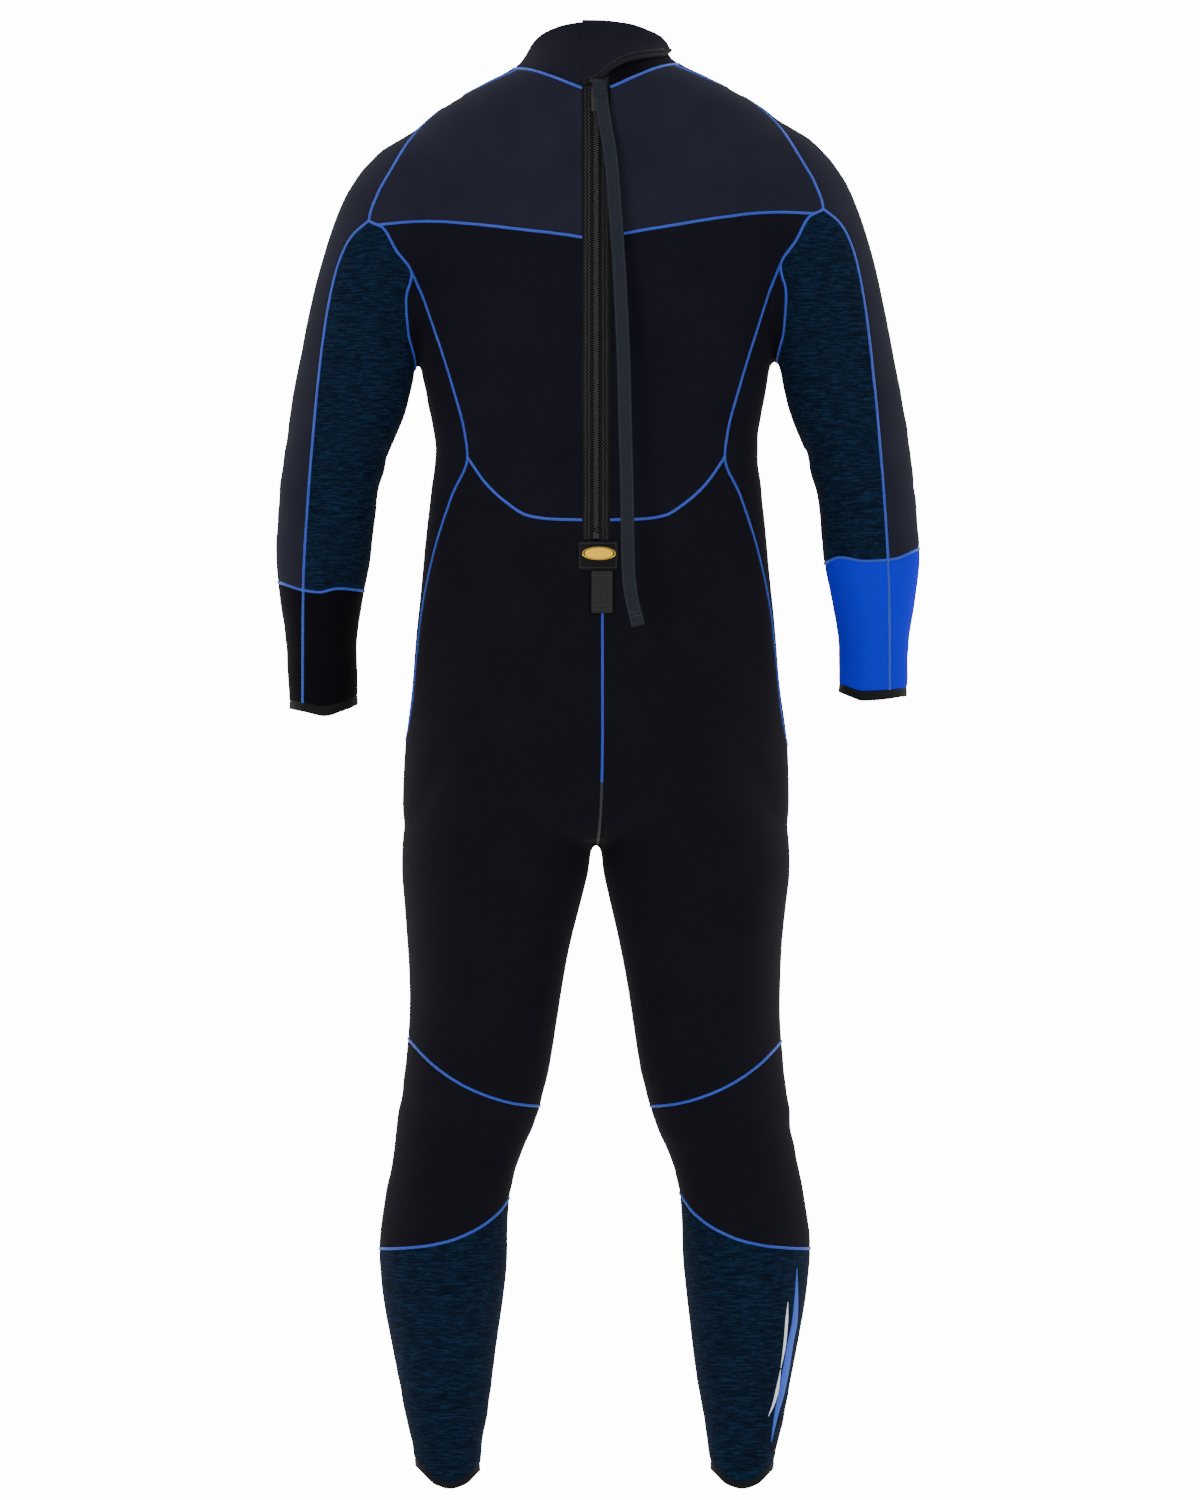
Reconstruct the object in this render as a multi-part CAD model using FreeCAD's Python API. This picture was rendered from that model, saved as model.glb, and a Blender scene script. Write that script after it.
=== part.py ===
"""Full wetsuit with a back zip, cut from neoprene panels.

Millimetres.  +Z is up the body, +Y is the way the wearer faces, so the zip is on the -Y side
and +X is the wearer's right.  Everything is laid out by height above the ankle hem; export()
moves it down so that the origin is the centre of the neck opening.
"""
import FreeCAD, Part
import math
import os
from FreeCAD import Vector

# ---- driving dimensions ------------------------------------------------------------------
NECK_HEIGHT = 1500.0      # ankle hem to neck opening
WALL = 5.0                # neoprene thickness
GAP = 0.3                 # running clearance between different bodies
REACH = 600.0             # half depth of the seam knives
RING_POINTS = 12

ZIP_BOTTOM = 973.0        # height of the zip's lower end
ZIP_TOP = 1450.0          # height of its upper end, just above the neck seam
ZIP_TILT = 0.03795        # the back leans out by this much per mm of height
ZIP_DEPTH = 87.3          # back surface at ZIP_REF height
ZIP_REF = 1405.0
SLOT_HALF = 14.5          # half width of the slot between the back panels

TAPE_INSIDE = 3.0         # inner edge of each zip tape
TEETH_INSIDE = 0.7        # each row of teeth stops this far from the middle
TOOTH_PITCH = 4.0
SLIDER_LOW = 1424.0       # slider's ends at rest, zip closed
SLIDER_HIGH = 1447.0
PIN_HEIGHT = 1443.5       # pull pin, and how far it stands off the back
PIN_OUT = 3.2

LEASH_WIDTH = 14.0
LEASH_THICK = 1.6
LEASH_OUT = 5.6           # webbing's inner face off the back at its top
LEASH_TILT = 0.068       # extra lean of the webbing, per mm

LEFT = -1
RIGHT = 1
SIDE_NAMES = {LEFT: "left", RIGHT: "right"}

# ---- body sections -----------------------------------------------------------------------
# height, half width, back y, front y, squareness
TORSO = [
    (660, 194, -102, 80, 2.5), (700, 199, -115, 90, 2.5), (760, 197, -122, 98, 2.5),
    (830, 189, -118, 104, 2.4), (900, 183, -109, 106, 2.4), (965, 177, -104.0, 103, 2.4),
    (1030, 170, -101.5, 104, 2.4), (1070, 166, -100.0, 108, 2.4), (1130, 176, -97.7, 118, 2.4),
    (1200, 188, -95.1, 127, 2.5), (1260, 196, -92.8, 128, 2.5), (1320, 200, -90.5, 118, 2.5),
    (1370, 190, -88.6, 100, 2.5), (1405, 168, -87.3, 84, 2.4), (1432, 128, -86.2, 72, 2.3),
    (1450, 96, -85.0, 68, 2.2), (1464, 80, -80, 66, 2.1), (1485, 71, -73, 65, 2.0),
    (1520, 70, -68, 64, 2.0),
]
# centre x, y, height, half width, half depth, from the neck side down to the wrist
ARM = [
    (120, 5, 1365, 50, 50), (168, 3, 1352, 61, 60), (205, 2, 1310, 63, 62), (226, 0, 1250, 60, 60),
    (240, -2, 1190, 59, 58), (251, -4, 1130, 57.5, 56), (267, -6, 1068, 50, 52),
    (276, -4, 1015, 47.5, 50), (280, 5, 965, 47, 47), (282.5, 18, 914, 40, 41),
    (283, 31, 868, 33.5, 35), (282, 42, 830, 32.5, 31), (281, 56, 775, 32, 29),
]
# height, centre x, half width, centre y, half depth
LEG = [
    (760, 99, 86, -16, 98), (700, 100, 94, -14, 102), (668, 101.5, 97, -12, 100),
    (636, 103, 94.8, -11, 97), (605, 105, 88.8, -10, 94), (543, 110, 79, -6, 86),
    (481, 114.5, 73.5, -2, 78), (419, 123, 71, 0, 72), (388, 129, 69, 0, 69),
    (357, 137, 65, -1, 65), (327, 146, 62, -6, 63), (296, 152, 62, -13, 63),
    (250, 155.5, 63.2, -20, 64), (203, 155.5, 60, -21, 60), (141, 154.5, 51, -17, 50),
    (79, 152.5, 40.5, -10, 41), (30, 151, 31.5, -6, 35), (-15, 150, 29, -5, 34),
]

# ---- seams, as (x, height) on the wearer's right; the left is their mirror image -----------
NECK_SEAM = [(-10, 1432), (0, 1432.5), (14, 1437), (45, 1450), (70, 1459), (95, 1463)]
COLLAR_ARCH = [(-130, 1470), (-75, 1479), (-40, 1499), (0, 1506), (40, 1499), (75, 1479),
               (130, 1470)]
COLLAR_DROP = 0.08        # fall of the collar's top towards the front, per mm
CROSS_BACK_SEAM = [(-5, 1280), (30, 1287), (78, 1294), (126, 1301), (178, 1306), (216, 1303)]
RAGLAN_SEAM = [(143, 1433), (171, 1413), (191, 1392), (210, 1361), (225, 1334), (233, 1307)]
ARMHOLE_SEAM = [(217, 1303), (206, 1278), (189, 1251), (195, 1225), (193, 1190), (186, 1155)]
ARM_INSIDE_SEAM = [(233, 1307)] + ARMHOLE_SEAM + [(188, 1120)]
SIDE_BACK_SEAM = [(216, 1303), (206, 1278), (188, 1251), (165, 1188), (146, 1127), (135, 1085),
                  (132, 1059)]
HIP_SEAM = [(132, 1059), (148, 1020), (168, 957), (180, 897), (185, 850), (190, 800), (200, 750)]
LUMBAR_SEAM = [(-5, 994), (43, 995), (69, 998.5), (94, 1014), (113, 1032), (132, 1059)]
SLEEVE_SEAM = [(233, 1307), (255, 1287), (268, 1253), (278, 1200), (285, 1141), (290.5, 1082),
               (297, 1000), (301, 930), (303, 800)]
WAIST_SEAM = [(-10, 1034), (35, 1036), (70, 1040), (132, 1059)]
WAIST_CUT = 620.0         # where the torso half is parted from the leg for cutting
KNEE_TOP_SEAM = [(-5, 386), (40, 390), (54, 392), (83, 396), (108, 403), (136, 415), (165, 434), (205, 474)]
KNEE_LOW_SEAM = [(70, 330), (88, 300), (100, 284), (122, 268), (151, 256), (182, 250), (230, 246)]
FOREARM_SEAM = {LEFT: [(230, 922), (266, 925), (284, 921), (300, 923), (325, 931)],
                RIGHT: [(230, 948), (250, 957), (275, 953), (305, 955), (330, 965)]}
CUFF_HEM = {LEFT: [(235, 812), (260, 800), (282, 795), (300, 798), (325, 803)],
            RIGHT: [(235, 826), (255, 817), (275, 811), (300, 812), (325, 815)]}
WRIST_BAND = 9.0
ANKLE_HEM = [(105, 30), (121, 16), (135, 4), (150, 0), (165, 4), (179, 16), (195, 30)]
ANKLE_BAND = 7.0
KNEE_PAD_TOP = 478.0      # the front pad covers more height than the panel behind the knee
KNEE_PAD_LOW = 232.0
LEG_SPLIT = [(860, -10), (700, -12), (480, -2), (388, 0), (327, -6), (250, -18), (141, -16),
             (20, -5), (-40, -5)]

# ---- pull leash: (x, height) of the middle of the webbing ---------------------------------
LEASH_ROUTE = [(5, 1431), (8, 1404), (15, 1370), (19, 1318), (23, 1262), (26, 1205),
               (28.5, 1148), (29.5, 1090), (31.5, 1033), (32, 978), (33, 932), (37, 906),
               (43, 884)]


def back_y(height):
    """Depth of the back surface at its middle."""
    if height >= 965:
        return -ZIP_DEPTH + (height - ZIP_REF) * ZIP_TILT
    rows = [(row[0], row[2]) for row in TORSO]
    for low, high in zip(rows, rows[1:]):
        if low[0] <= height <= high[0]:
            part = (height - low[0]) / (high[0] - low[0])
            return low[1] + part * (high[1] - low[1])
    return rows[0][1]


def export(name, shape):
    moved = shape.copy()
    moved.translate(Vector(0, 0, -NECK_HEIGHT))
    moved.exportStep("parts/" + name + ".step")
    box = moved.BoundBox
    print(f"{name:24s} solids {len(moved.Solids)}  volume {moved.Volume / 1000:9.2f} cm3  "
          f"x {box.XMin:7.1f} {box.XMax:7.1f}  y {box.YMin:7.1f} {box.YMax:7.1f}  "
          f"z {box.ZMin:8.1f} {box.ZMax:8.1f}")


# ---- curved walls --------------------------------------------------------------------------
def closed_curve(points):
    curve = Part.BSplineCurve()
    curve.interpolate(points, PeriodicFlag=True)
    return Part.Wire(curve.toShape())


def rounded(value, squareness):
    return math.copysign(abs(value) ** (2 / squareness), value)


def ring_angles():
    return [2 * math.pi * step / RING_POINTS for step in range(RING_POINTS)]


def torso_ring(row, inset):
    height, half_width, back, front, squareness = row
    half_depth = (front - back) / 2 - inset
    middle = (front + back) / 2
    return closed_curve([Vector((half_width - inset) * rounded(math.cos(a), squareness),
                                middle + half_depth * rounded(math.sin(a), squareness),
                                height) for a in ring_angles()])


def leg_ring(row, inset):
    height, middle_x, half_width, middle_y, half_depth = row
    return closed_curve([Vector(middle_x + (half_width - inset) * math.cos(a),
                                middle_y + (half_depth - inset) * math.sin(a),
                                height) for a in ring_angles()])


def arm_ring(index, inset):
    centre = Vector(*ARM[index][:3])
    before = Vector(*ARM[max(index - 1, 0)][:3])
    after = Vector(*ARM[min(index + 1, len(ARM) - 1)][:3])
    along = (after - before).normalize()
    deep = Vector(0, 1, 0)
    deep = (deep - along * deep.dot(along)).normalize()
    wide = deep.cross(along).normalize()
    half_width, half_depth = ARM[index][3:]
    return closed_curve([centre + wide * ((half_width - inset) * math.cos(a))
                         + deep * ((half_depth - inset) * math.sin(a)) for a in ring_angles()])


def mirrored(shape):
    return shape.mirror(Vector(0, 0, 0), Vector(1, 0, 0))


def half_body(inset):
    """Torso, right arm and right leg as one solid, pulled in by inset."""
    torso = Part.makeLoft([torso_ring(row, inset) for row in TORSO], True, False)
    arm = Part.makeLoft([arm_ring(index, inset) for index in range(len(ARM))], True, False)
    leg = Part.makeLoft([leg_ring(row, inset) for row in LEG], True, False)
    return torso.fuse([arm, leg])


# ---- seam knives -----------------------------------------------------------------------------
def curve_through(points):
    curve = Part.BSplineCurve()
    curve.interpolate(points)
    return curve.toShape()


def outline_face(curves, corners):
    """Flat face bounded by smooth curves in order, then straight lines through corners."""
    edges = [curve_through(points) for points in curves]
    path = [curves[-1][-1]] + corners + [curves[0][0]]
    for start, end in zip(path, path[1:]):
        if (end - start).Length > 1e-6:
            edges.append(Part.makeLine(start, end))
    return Part.Face(Part.Wire(edges))


def knife(curves, corners, side=RIGHT, low_y=-REACH, high_y=REACH):
    """Block behind an outline given as (x, height), from low_y to high_y."""
    def place(points):
        return [Vector(side * x, low_y, height) for x, height in points]
    face = outline_face([place(points) for points in curves], place(corners))
    return face.extrude(Vector(0, high_y - low_y, 0))


def shifted(points, rise):
    return [(x, height + rise) for x, height in points]


def take(stock, tool):
    """Split stock into what lies inside the tool and what is left."""
    inside = stock.common(tool)
    outside = stock.cut(tool)
    if abs(inside.Volume + outside.Volume - stock.Volume) > 0.002 * stock.Volume:
        if inside.Volume + outside.Volume < stock.Volume and inside.Volume < outside.Volume:
            inside = stock.cut(outside)
        else:
            outside = stock.cut(inside)
    return inside, outside


def box(x_low, x_high, y_low, y_high, z_low, z_high):
    return Part.makeBox(x_high - x_low, y_high - y_low, z_high - z_low,
                        Vector(x_low, y_low, z_low))


def biggest(shape):
    """The largest solid: drops slivers a seam may leave."""
    return max(shape.Solids, key=lambda solid: solid.Volume)


def front_half():
    """Everything in front of the legs' side seams."""
    points = [Vector(-REACH, y, height) for height, y in LEG_SPLIT]
    corners = [Vector(-REACH, REACH, -40), Vector(-REACH, REACH, 860)]
    return outline_face([points], corners).extrude(Vector(2 * REACH, 0, 0))


# ---- panels --------------------------------------------------------------------------------
def collar_top_knife():
    """Block above the collar's arched top edge, which drops a little towards the front."""
    arch = [Vector(x, -REACH, height) for x, height in COLLAR_ARCH]
    corners = [Vector(130, -REACH, 1700), Vector(-130, -REACH, 1700)]
    block = outline_face([arch], corners).extrude(Vector(0, 2 * REACH, -2 * REACH * COLLAR_DROP))
    block.translate(Vector(0, 0, COLLAR_DROP * (REACH - 70)))
    return block


def collar_and_body(shell):
    """Trim the collar's top, open the back for the zip and part the collar from the body."""
    shell = shell.cut(collar_top_knife())
    shell = shell.cut(box(-1, SLOT_HALF, -200, -40, ZIP_BOTTOM, 1600))
    return take(shell, knife([NECK_SEAM], [(130, 1475), (130, 1700), (-10, 1700), (-10, 1432)]))


def arm_panels(arm, side):
    """Panels of one arm, cut on the right-hand arm with the seams of the given side."""
    seam = FOREARM_SEAM[side]
    below = [(360, 960), (360, 700), (200, 700), (200, 920)]
    arm = arm.cut(knife([CUFF_HEM[side]], below))
    lower = arm.common(knife([shifted(seam, -GAP)], below))
    upper = arm.cut(knife([seam], below))
    band, lower = take(lower, knife([shifted(CUFF_HEM[side], WRIST_BAND)], below))
    outer, inner = take(lower, knife([SLEEVE_SEAM], [(303, 700), (420, 700), (420, 1320)]))
    sleeve_outer, sleeve_inner = take(upper, knife(
        [SLEEVE_SEAM], [(303, 700), (420, 700), (420, 1460), (120, 1460), (143, 1433),
                        (200, 1380)]))
    return {"sleeve_outer": sleeve_outer, "sleeve_inner": sleeve_inner,
            "forearm_outer": outer, "forearm_inner": inner, "wrist_binding": band}


def leg_panels(leg):
    """Front and back of the thigh, then the named panels from the knee down."""
    down = [(260, -60), (20, -60)]
    under_hem = [(230, 30), (230, -60), (60, -60), (60, 30)]
    leg = leg.cut(knife([ANKLE_HEM], under_hem))
    leg_front, leg_back = take(leg, front_half())
    thigh_front, leg_front = take(leg_front, box(-20, 400, -REACH, REACH, KNEE_PAD_TOP, 700))
    thigh_back, leg_back = take(leg_back, knife([KNEE_TOP_SEAM], [(260, 474), (260, 700),
                                                                  (-5, 700), (-5, 390)]))
    calf_back = leg_back.common(knife([shifted(KNEE_LOW_SEAM, -GAP)], [(260, 240)] + down))
    calf_front = leg_front.common(box(-20, 400, -REACH, REACH, -100, KNEE_PAD_LOW - GAP))
    band, calf = take(calf_back.fuse(calf_front), knife([shifted(ANKLE_HEM, ANKLE_BAND)],
                                                        under_hem))
    knee_back = leg_back.cut(knife([KNEE_LOW_SEAM], [(260, 240)] + down))
    knee_pad = leg_front.cut(box(-20, 400, -REACH, REACH, -100, KNEE_PAD_LOW))
    return thigh_back, thigh_front, {"knee_back": knee_back, "knee_pad": knee_pad,
                                     "calf": calf, "ankle_binding": band}


def body_panels():
    """Every neoprene panel: the right half is cut, the left is its mirror image."""
    shell = half_body(0).common(box(0, 400, -REACH, REACH, -100, 1700)).cut(half_body(WALL))
    collar, body = collar_and_body(shell)
    arm, body = take(body, knife([RAGLAN_SEAM, ARM_INSIDE_SEAM],
                                 [(188, 1120), (203, 1037), (209, 945), (222, 700), (420, 700),
                                  (420, 1460), (143, 1460)]))
    upper, lower = take(body, box(-20, 400, -REACH, REACH, WAIST_CUT, 1600))
    side_panel, upper = take(upper, knife([SIDE_BACK_SEAM, HIP_SEAM],
                                          [(260, 750), (260, 1303)]))
    upper_front, upper_back = take(upper, front_of_torso())
    chest, belly = take(upper_front, knife([WAIST_SEAM], [(300, 1059), (300, 1600), (-10, 1600),
                                                          (-10, 1034)]))
    yoke, lower_back = take(upper_back, knife([CROSS_BACK_SEAM], [(260, 1303), (260, 1600),
                                                                  (-5, 1600), (-5, 1280)]))
    seat, mid_back = take(lower_back, knife([LUMBAR_SEAM], [(260, 1059), (260, 600), (-5, 600),
                                                            (-5, 994)]))
    thigh_back, thigh_front, paired = leg_panels(lower)
    paired.update({"side_panel": side_panel, "back_yoke": yoke, "mid_back": mid_back,
                   "seat_panel": seat.fuse(thigh_back), "front_thigh": belly.fuse(thigh_front)})
    panels = {"collar_band": collar.fuse(mirrored(collar)),
              "chest_panel": chest.fuse(mirrored(chest))}
    for side in (LEFT, RIGHT):
        for name, shape in {**paired, **arm_panels(arm, side)}.items():
            piece = biggest(shape)
            panels[name + "_" + SIDE_NAMES[side]] = mirrored(piece) if side == LEFT else piece
    return panels


def front_of_torso():
    """Everything in front of the shoulder line and of the legs' side seams."""
    points = [Vector(-REACH, 2, 1600), Vector(-REACH, 2, 1240), Vector(-REACH, -9, 1000),
              Vector(-REACH, -10, 860)]
    lower = [Vector(-REACH, y, height) for height, y in LEG_SPLIT]
    corners = [Vector(-REACH, REACH, -40), Vector(-REACH, REACH, 1600)]
    return outline_face([points, lower], corners).extrude(Vector(2 * REACH, 0, 0))


# ---- zip, laid out flat: x across, out away from the back, up along the zip -----------------
def on_back(shape, extra_tilt=0.0, pivot=ZIP_BOTTOM):
    """Lean a flat piece against the straight back line; its z is still the height."""
    angle = math.degrees(math.atan(ZIP_TILT + extra_tilt))
    y = back_y(pivot)
    leaned = shape.copy()
    leaned.translate(Vector(0, y, 0))
    leaned.rotate(Vector(0, y, pivot), Vector(1, 0, 0), -angle)
    return leaned


def flat_box(x_low, x_high, out_low, out_high, z_low, z_high):
    return box(x_low, x_high, -out_high, -out_low, z_low, z_high)


def rod(radius, x_low, x_high, out, height):
    return Part.makeCylinder(radius, x_high - x_low, Vector(x_low, -out, height),
                             Vector(1, 0, 0))


def teeth_row(side):
    """Comb of moulded teeth along one tape's edge."""
    foot, root, tip = TAPE_INSIDE, 1.9, TEETH_INSIDE
    height = ZIP_BOTTOM + 10
    points = [(foot, height)]
    while height + TOOTH_PITCH < ZIP_TOP - 3:
        middle = height + TOOTH_PITCH * 0.6
        points += [(tip, height), (tip, middle), (root, middle), (root, height + TOOTH_PITCH)]
        height += TOOTH_PITCH
    points += [(foot, height), points[0]]
    wire = Part.makePolygon([Vector(side * x, 0.9, z) for x, z in points])
    return Part.Face(wire).extrude(Vector(0, 3.1, 0))


def zip_slider():
    plate = flat_box(-6, 6, -0.5, 1.1, SLIDER_LOW, SLIDER_HIGH)
    under = flat_box(-6, 6, -5.6, -4.4, SLIDER_LOW, SLIDER_HIGH)
    bridge = flat_box(-0.35, 0.35, -5.0, 0.0, SLIDER_HIGH - 7, SLIDER_HIGH)
    body = plate.fuse([under, bridge])
    for side in (LEFT, RIGHT):
        x_low = 3.4 if side == RIGHT else -5.0
        lug = rod(2.0, x_low, x_low + 1.6, PIN_OUT, PIN_HEIGHT)
        foot = flat_box(x_low, x_low + 1.6, 1.0, PIN_OUT, PIN_HEIGHT - 2, PIN_HEIGHT + 2)
        body = body.fuse([lug, foot])
    body = body.cut(rod(1.0 + GAP, -8, 8, PIN_OUT, PIN_HEIGHT))
    long_edges = [edge for edge in body.Edges if abs(edge.BoundBox.ZLength - 23) < 0.1
                  and abs(abs(edge.BoundBox.Center.x) - 6) < 0.1
                  and -edge.BoundBox.Center.y > 1.0]
    return body.makeChamfer(0.8, long_edges)


def pull_pin():
    shank = rod(1.0, -5.4, 5.4, PIN_OUT, PIN_HEIGHT)
    heads = [rod(1.6, x, x + 0.9, PIN_OUT, PIN_HEIGHT) for x in (-6.3, 5.4)]
    return shank.fuse(heads)


def pull_tab():
    eye = rod(1.9, -3.1, 3.1, PIN_OUT, PIN_HEIGHT)
    neck = flat_box(-3.1, 3.1, PIN_OUT - 1.0, PIN_OUT + 1.2, PIN_HEIGHT - 6, PIN_HEIGHT)
    plate = flat_box(-4.8, 4.8, PIN_OUT - 1.0, LEASH_OUT, PIN_HEIGHT - 31, PIN_HEIGHT - 5)
    corners = [edge for edge in plate.Edges if edge.BoundBox.YLength > 3]
    plate = plate.makeFillet(2.4, corners)
    return eye.fuse([neck, plate]).cut(rod(1.0 + GAP, -8, 8, PIN_OUT, PIN_HEIGHT))


def bend(before, corner, after):
    """Tangent arc at a corner: radius is 0.45 of the shorter run over tan of half the turn."""
    run_in, run_out = corner - before, after - corner
    turn = run_in.getAngle(run_out)
    reach = 0.45 * min(run_in.Length, run_out.Length)
    start = corner - run_in.normalize() * reach
    end = corner + run_out.normalize() * reach
    radius = reach / math.tan(turn / 2)
    towards = ((start + end) * 0.5 - corner).normalize()
    middle = corner + towards * (math.hypot(radius, reach) - radius)
    return Part.Arc(start, middle, end).toShape(), radius


def pull_leash():
    """Flat webbing: its middle line is straight runs joined by tangent arcs."""
    points = [Vector(x, 0, height) for x, height in LEASH_ROUTE]
    edges, radii, here = [], [], points[0]
    for before, corner, after in zip(points, points[1:], points[2:]):
        arc, radius = bend(before, corner, after)
        edges.append(Part.makeLine(here, arc.Vertexes[0].Point))
        edges.append(arc)
        here = arc.Vertexes[-1].Point
        radii.append(round(radius))
    edges.append(Part.makeLine(here, points[-1]))
    line = Part.Wire(edges)
    print("leash radii", radii, "length", round(line.Length, 1))
    start = points[0]
    across = (points[1] - points[0]).cross(Vector(0, 1, 0)).normalize() * (LEASH_WIDTH / 2)
    depth = Vector(0, LEASH_THICK, 0)
    section = Part.makePolygon([start + across, start - across, start - across - depth,
                                start + across - depth, start + across])
    band = line.makePipeShell([section], True, False, 2)
    print("leash volume / (section x length)",
          round(band.Volume / (LEASH_WIDTH * LEASH_THICK * line.Length), 3))
    band.translate(Vector(0, -LEASH_OUT, 0))
    return band


def zip_pieces():
    pieces = {}
    for side in (LEFT, RIGHT):
        name = SIDE_NAMES[side]
        x_low, x_high = sorted((side * TAPE_INSIDE, side * SLOT_HALF))
        pieces["zip_tape_" + name] = on_back(flat_box(x_low, x_high, -3.2, -1.8,
                                                      ZIP_BOTTOM, ZIP_TOP))
        pieces["zip_teeth_" + name] = on_back(teeth_row(side))
    stop_low = flat_box(-TAPE_INSIDE, TAPE_INSIDE, -4.2, -0.6, ZIP_BOTTOM + 2, ZIP_BOTTOM + 8)
    pieces["zip_bottom_stop"] = on_back(stop_low)
    stops = [flat_box(x, x + 1.6, -1.8, -0.2, SLIDER_HIGH + 0.6, ZIP_TOP - 0.2)
             for x in (-5.4, 3.8)]
    pieces["zip_top_stops"] = on_back(Part.makeCompound(stops))
    wing, inside, skin, back = 24.0, 16.0, 6.4, 9.4
    profile = [(-wing, skin), (-inside, skin), (-inside, 6.8), (inside, 6.8), (inside, skin),
               (wing, skin), (wing, back), (-wing, back), (-wing, skin)]
    face = Part.Face(Part.makePolygon([Vector(x, depth, ZIP_BOTTOM - 15) for x, depth in profile]))
    pieces["zip_guard"] = on_back(face.extrude(Vector(0, 0, ZIP_TOP - 4 - ZIP_BOTTOM + 15)))
    pieces["zip_slider"] = on_back(zip_slider())
    pieces["pull_pin"] = on_back(pull_pin())
    pieces["pull_tab"] = on_back(pull_tab())
    leash = pull_leash()
    leash.rotate(Vector(0, -LEASH_OUT, LEASH_ROUTE[0][1]), Vector(1, 0, 0),
                 -math.degrees(LEASH_TILT))
    pieces["pull_leash"] = on_back(leash)
    return pieces


# ---- label and keeper below the zip ----------------------------------------------------------
def rounded_plate(x_middle, half_width, out_low, out_high, z_low, z_high, corner):
    plate = flat_box(x_middle - half_width, x_middle + half_width, out_low, out_high,
                     z_low, z_high)
    return plate.makeFillet(corner, [edge for edge in plate.Edges
                                     if edge.BoundBox.YLength > 0.1
                                     and edge.BoundBox.XLength < 0.1
                                     and edge.BoundBox.ZLength < 0.1])


def label_pieces():
    lean = 0.045
    patch = rounded_plate(2, 20.5, 0.5, 1.7, 943, 972.5, 2.0)
    oval = Part.Ellipse(Vector(3, 0, 960), 18.0, 7.0)
    oval.Axis = Vector(0, -1, 0)
    badge = Part.Face(Part.Wire(oval.toShape())).extrude(Vector(0, -0.8, 0))
    badge.translate(Vector(0, -1.7, 0))
    keeper = rounded_plate(6, 10.8, 0.9, 2.9, 899, 942, 1.5)
    return {"label_patch": on_back(patch, lean, 972.5), "label_badge": on_back(badge, lean, 972.5),
            "keeper_tab": on_back(keeper, lean + 0.07, 972.5)}


# ---- collar flap ---------------------------------------------------------------------------
def neck_layer(outset_low, outset_high):
    """Sleeve of cloth round the neck between two distances off the collar's outside."""
    rows = [row for row in TORSO if row[0] >= 1320]
    outer = Part.makeLoft([torso_ring(row, -outset_high) for row in rows], True, False)
    inner = Part.makeLoft([torso_ring(row, -outset_low) for row in rows], True, False)
    return outer.cut(inner)


def flap_pieces():
    lower_edge = [(-14.2, 1441), (-5, 1446), (14, 1457), (36, 1468), (60, 1472), (84, 1475)]
    outline = [(84, 1700), (-14.2, 1700)]
    behind = {"low_y": -200, "high_y": -6}
    cloth = neck_layer(2.8, 5.8).cut(collar_top_knife())
    flap = cloth.common(knife([lower_edge], outline, **behind))
    body_tool = knife([shifted(lower_edge, 4.0)], outline, **behind)
    flap, binding = take(flap, body_tool)[0], flap.cut(body_tool)
    patch_edge = [(34, 1475), (48, 1477), (62, 1478.5), (90, 1481)]
    patch_tool = knife([patch_edge], [(90, 1560), (34, 1560)], low_y=-200, high_y=-10)
    low_top = collar_top_knife()
    low_top.translate(Vector(0, 0, -4))
    hook = neck_layer(1.7, 2.6).common(patch_tool).cut(low_top)
    loop = neck_layer(0.6, 1.4).common(patch_tool).cut(low_top)
    return {"collar_flap": biggest(flap), "flap_edge_binding": biggest(binding),
            "flap_hook_patch": biggest(hook), "collar_loop_patch": biggest(loop)}


def main():
    os.makedirs("parts", exist_ok=True)
    pieces = body_panels()
    pieces.update(zip_pieces())
    pieces.update(label_pieces())
    pieces.update(flap_pieces())
    for name, shape in pieces.items():
        export(name, shape)


main()
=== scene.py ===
"""Full wetsuit with a back zip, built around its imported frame.

Lengths in the tables are millimetres: x to the wearer's right, y forwards and height above the
ankle hem.  at() turns them into the frame's metres, whose origin is the neck opening.
"""
import bisect
import math

import bmesh
import bpy
from mathutils import Matrix, Vector, noise
from mathutils.bvhtree import BVHTree


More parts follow.
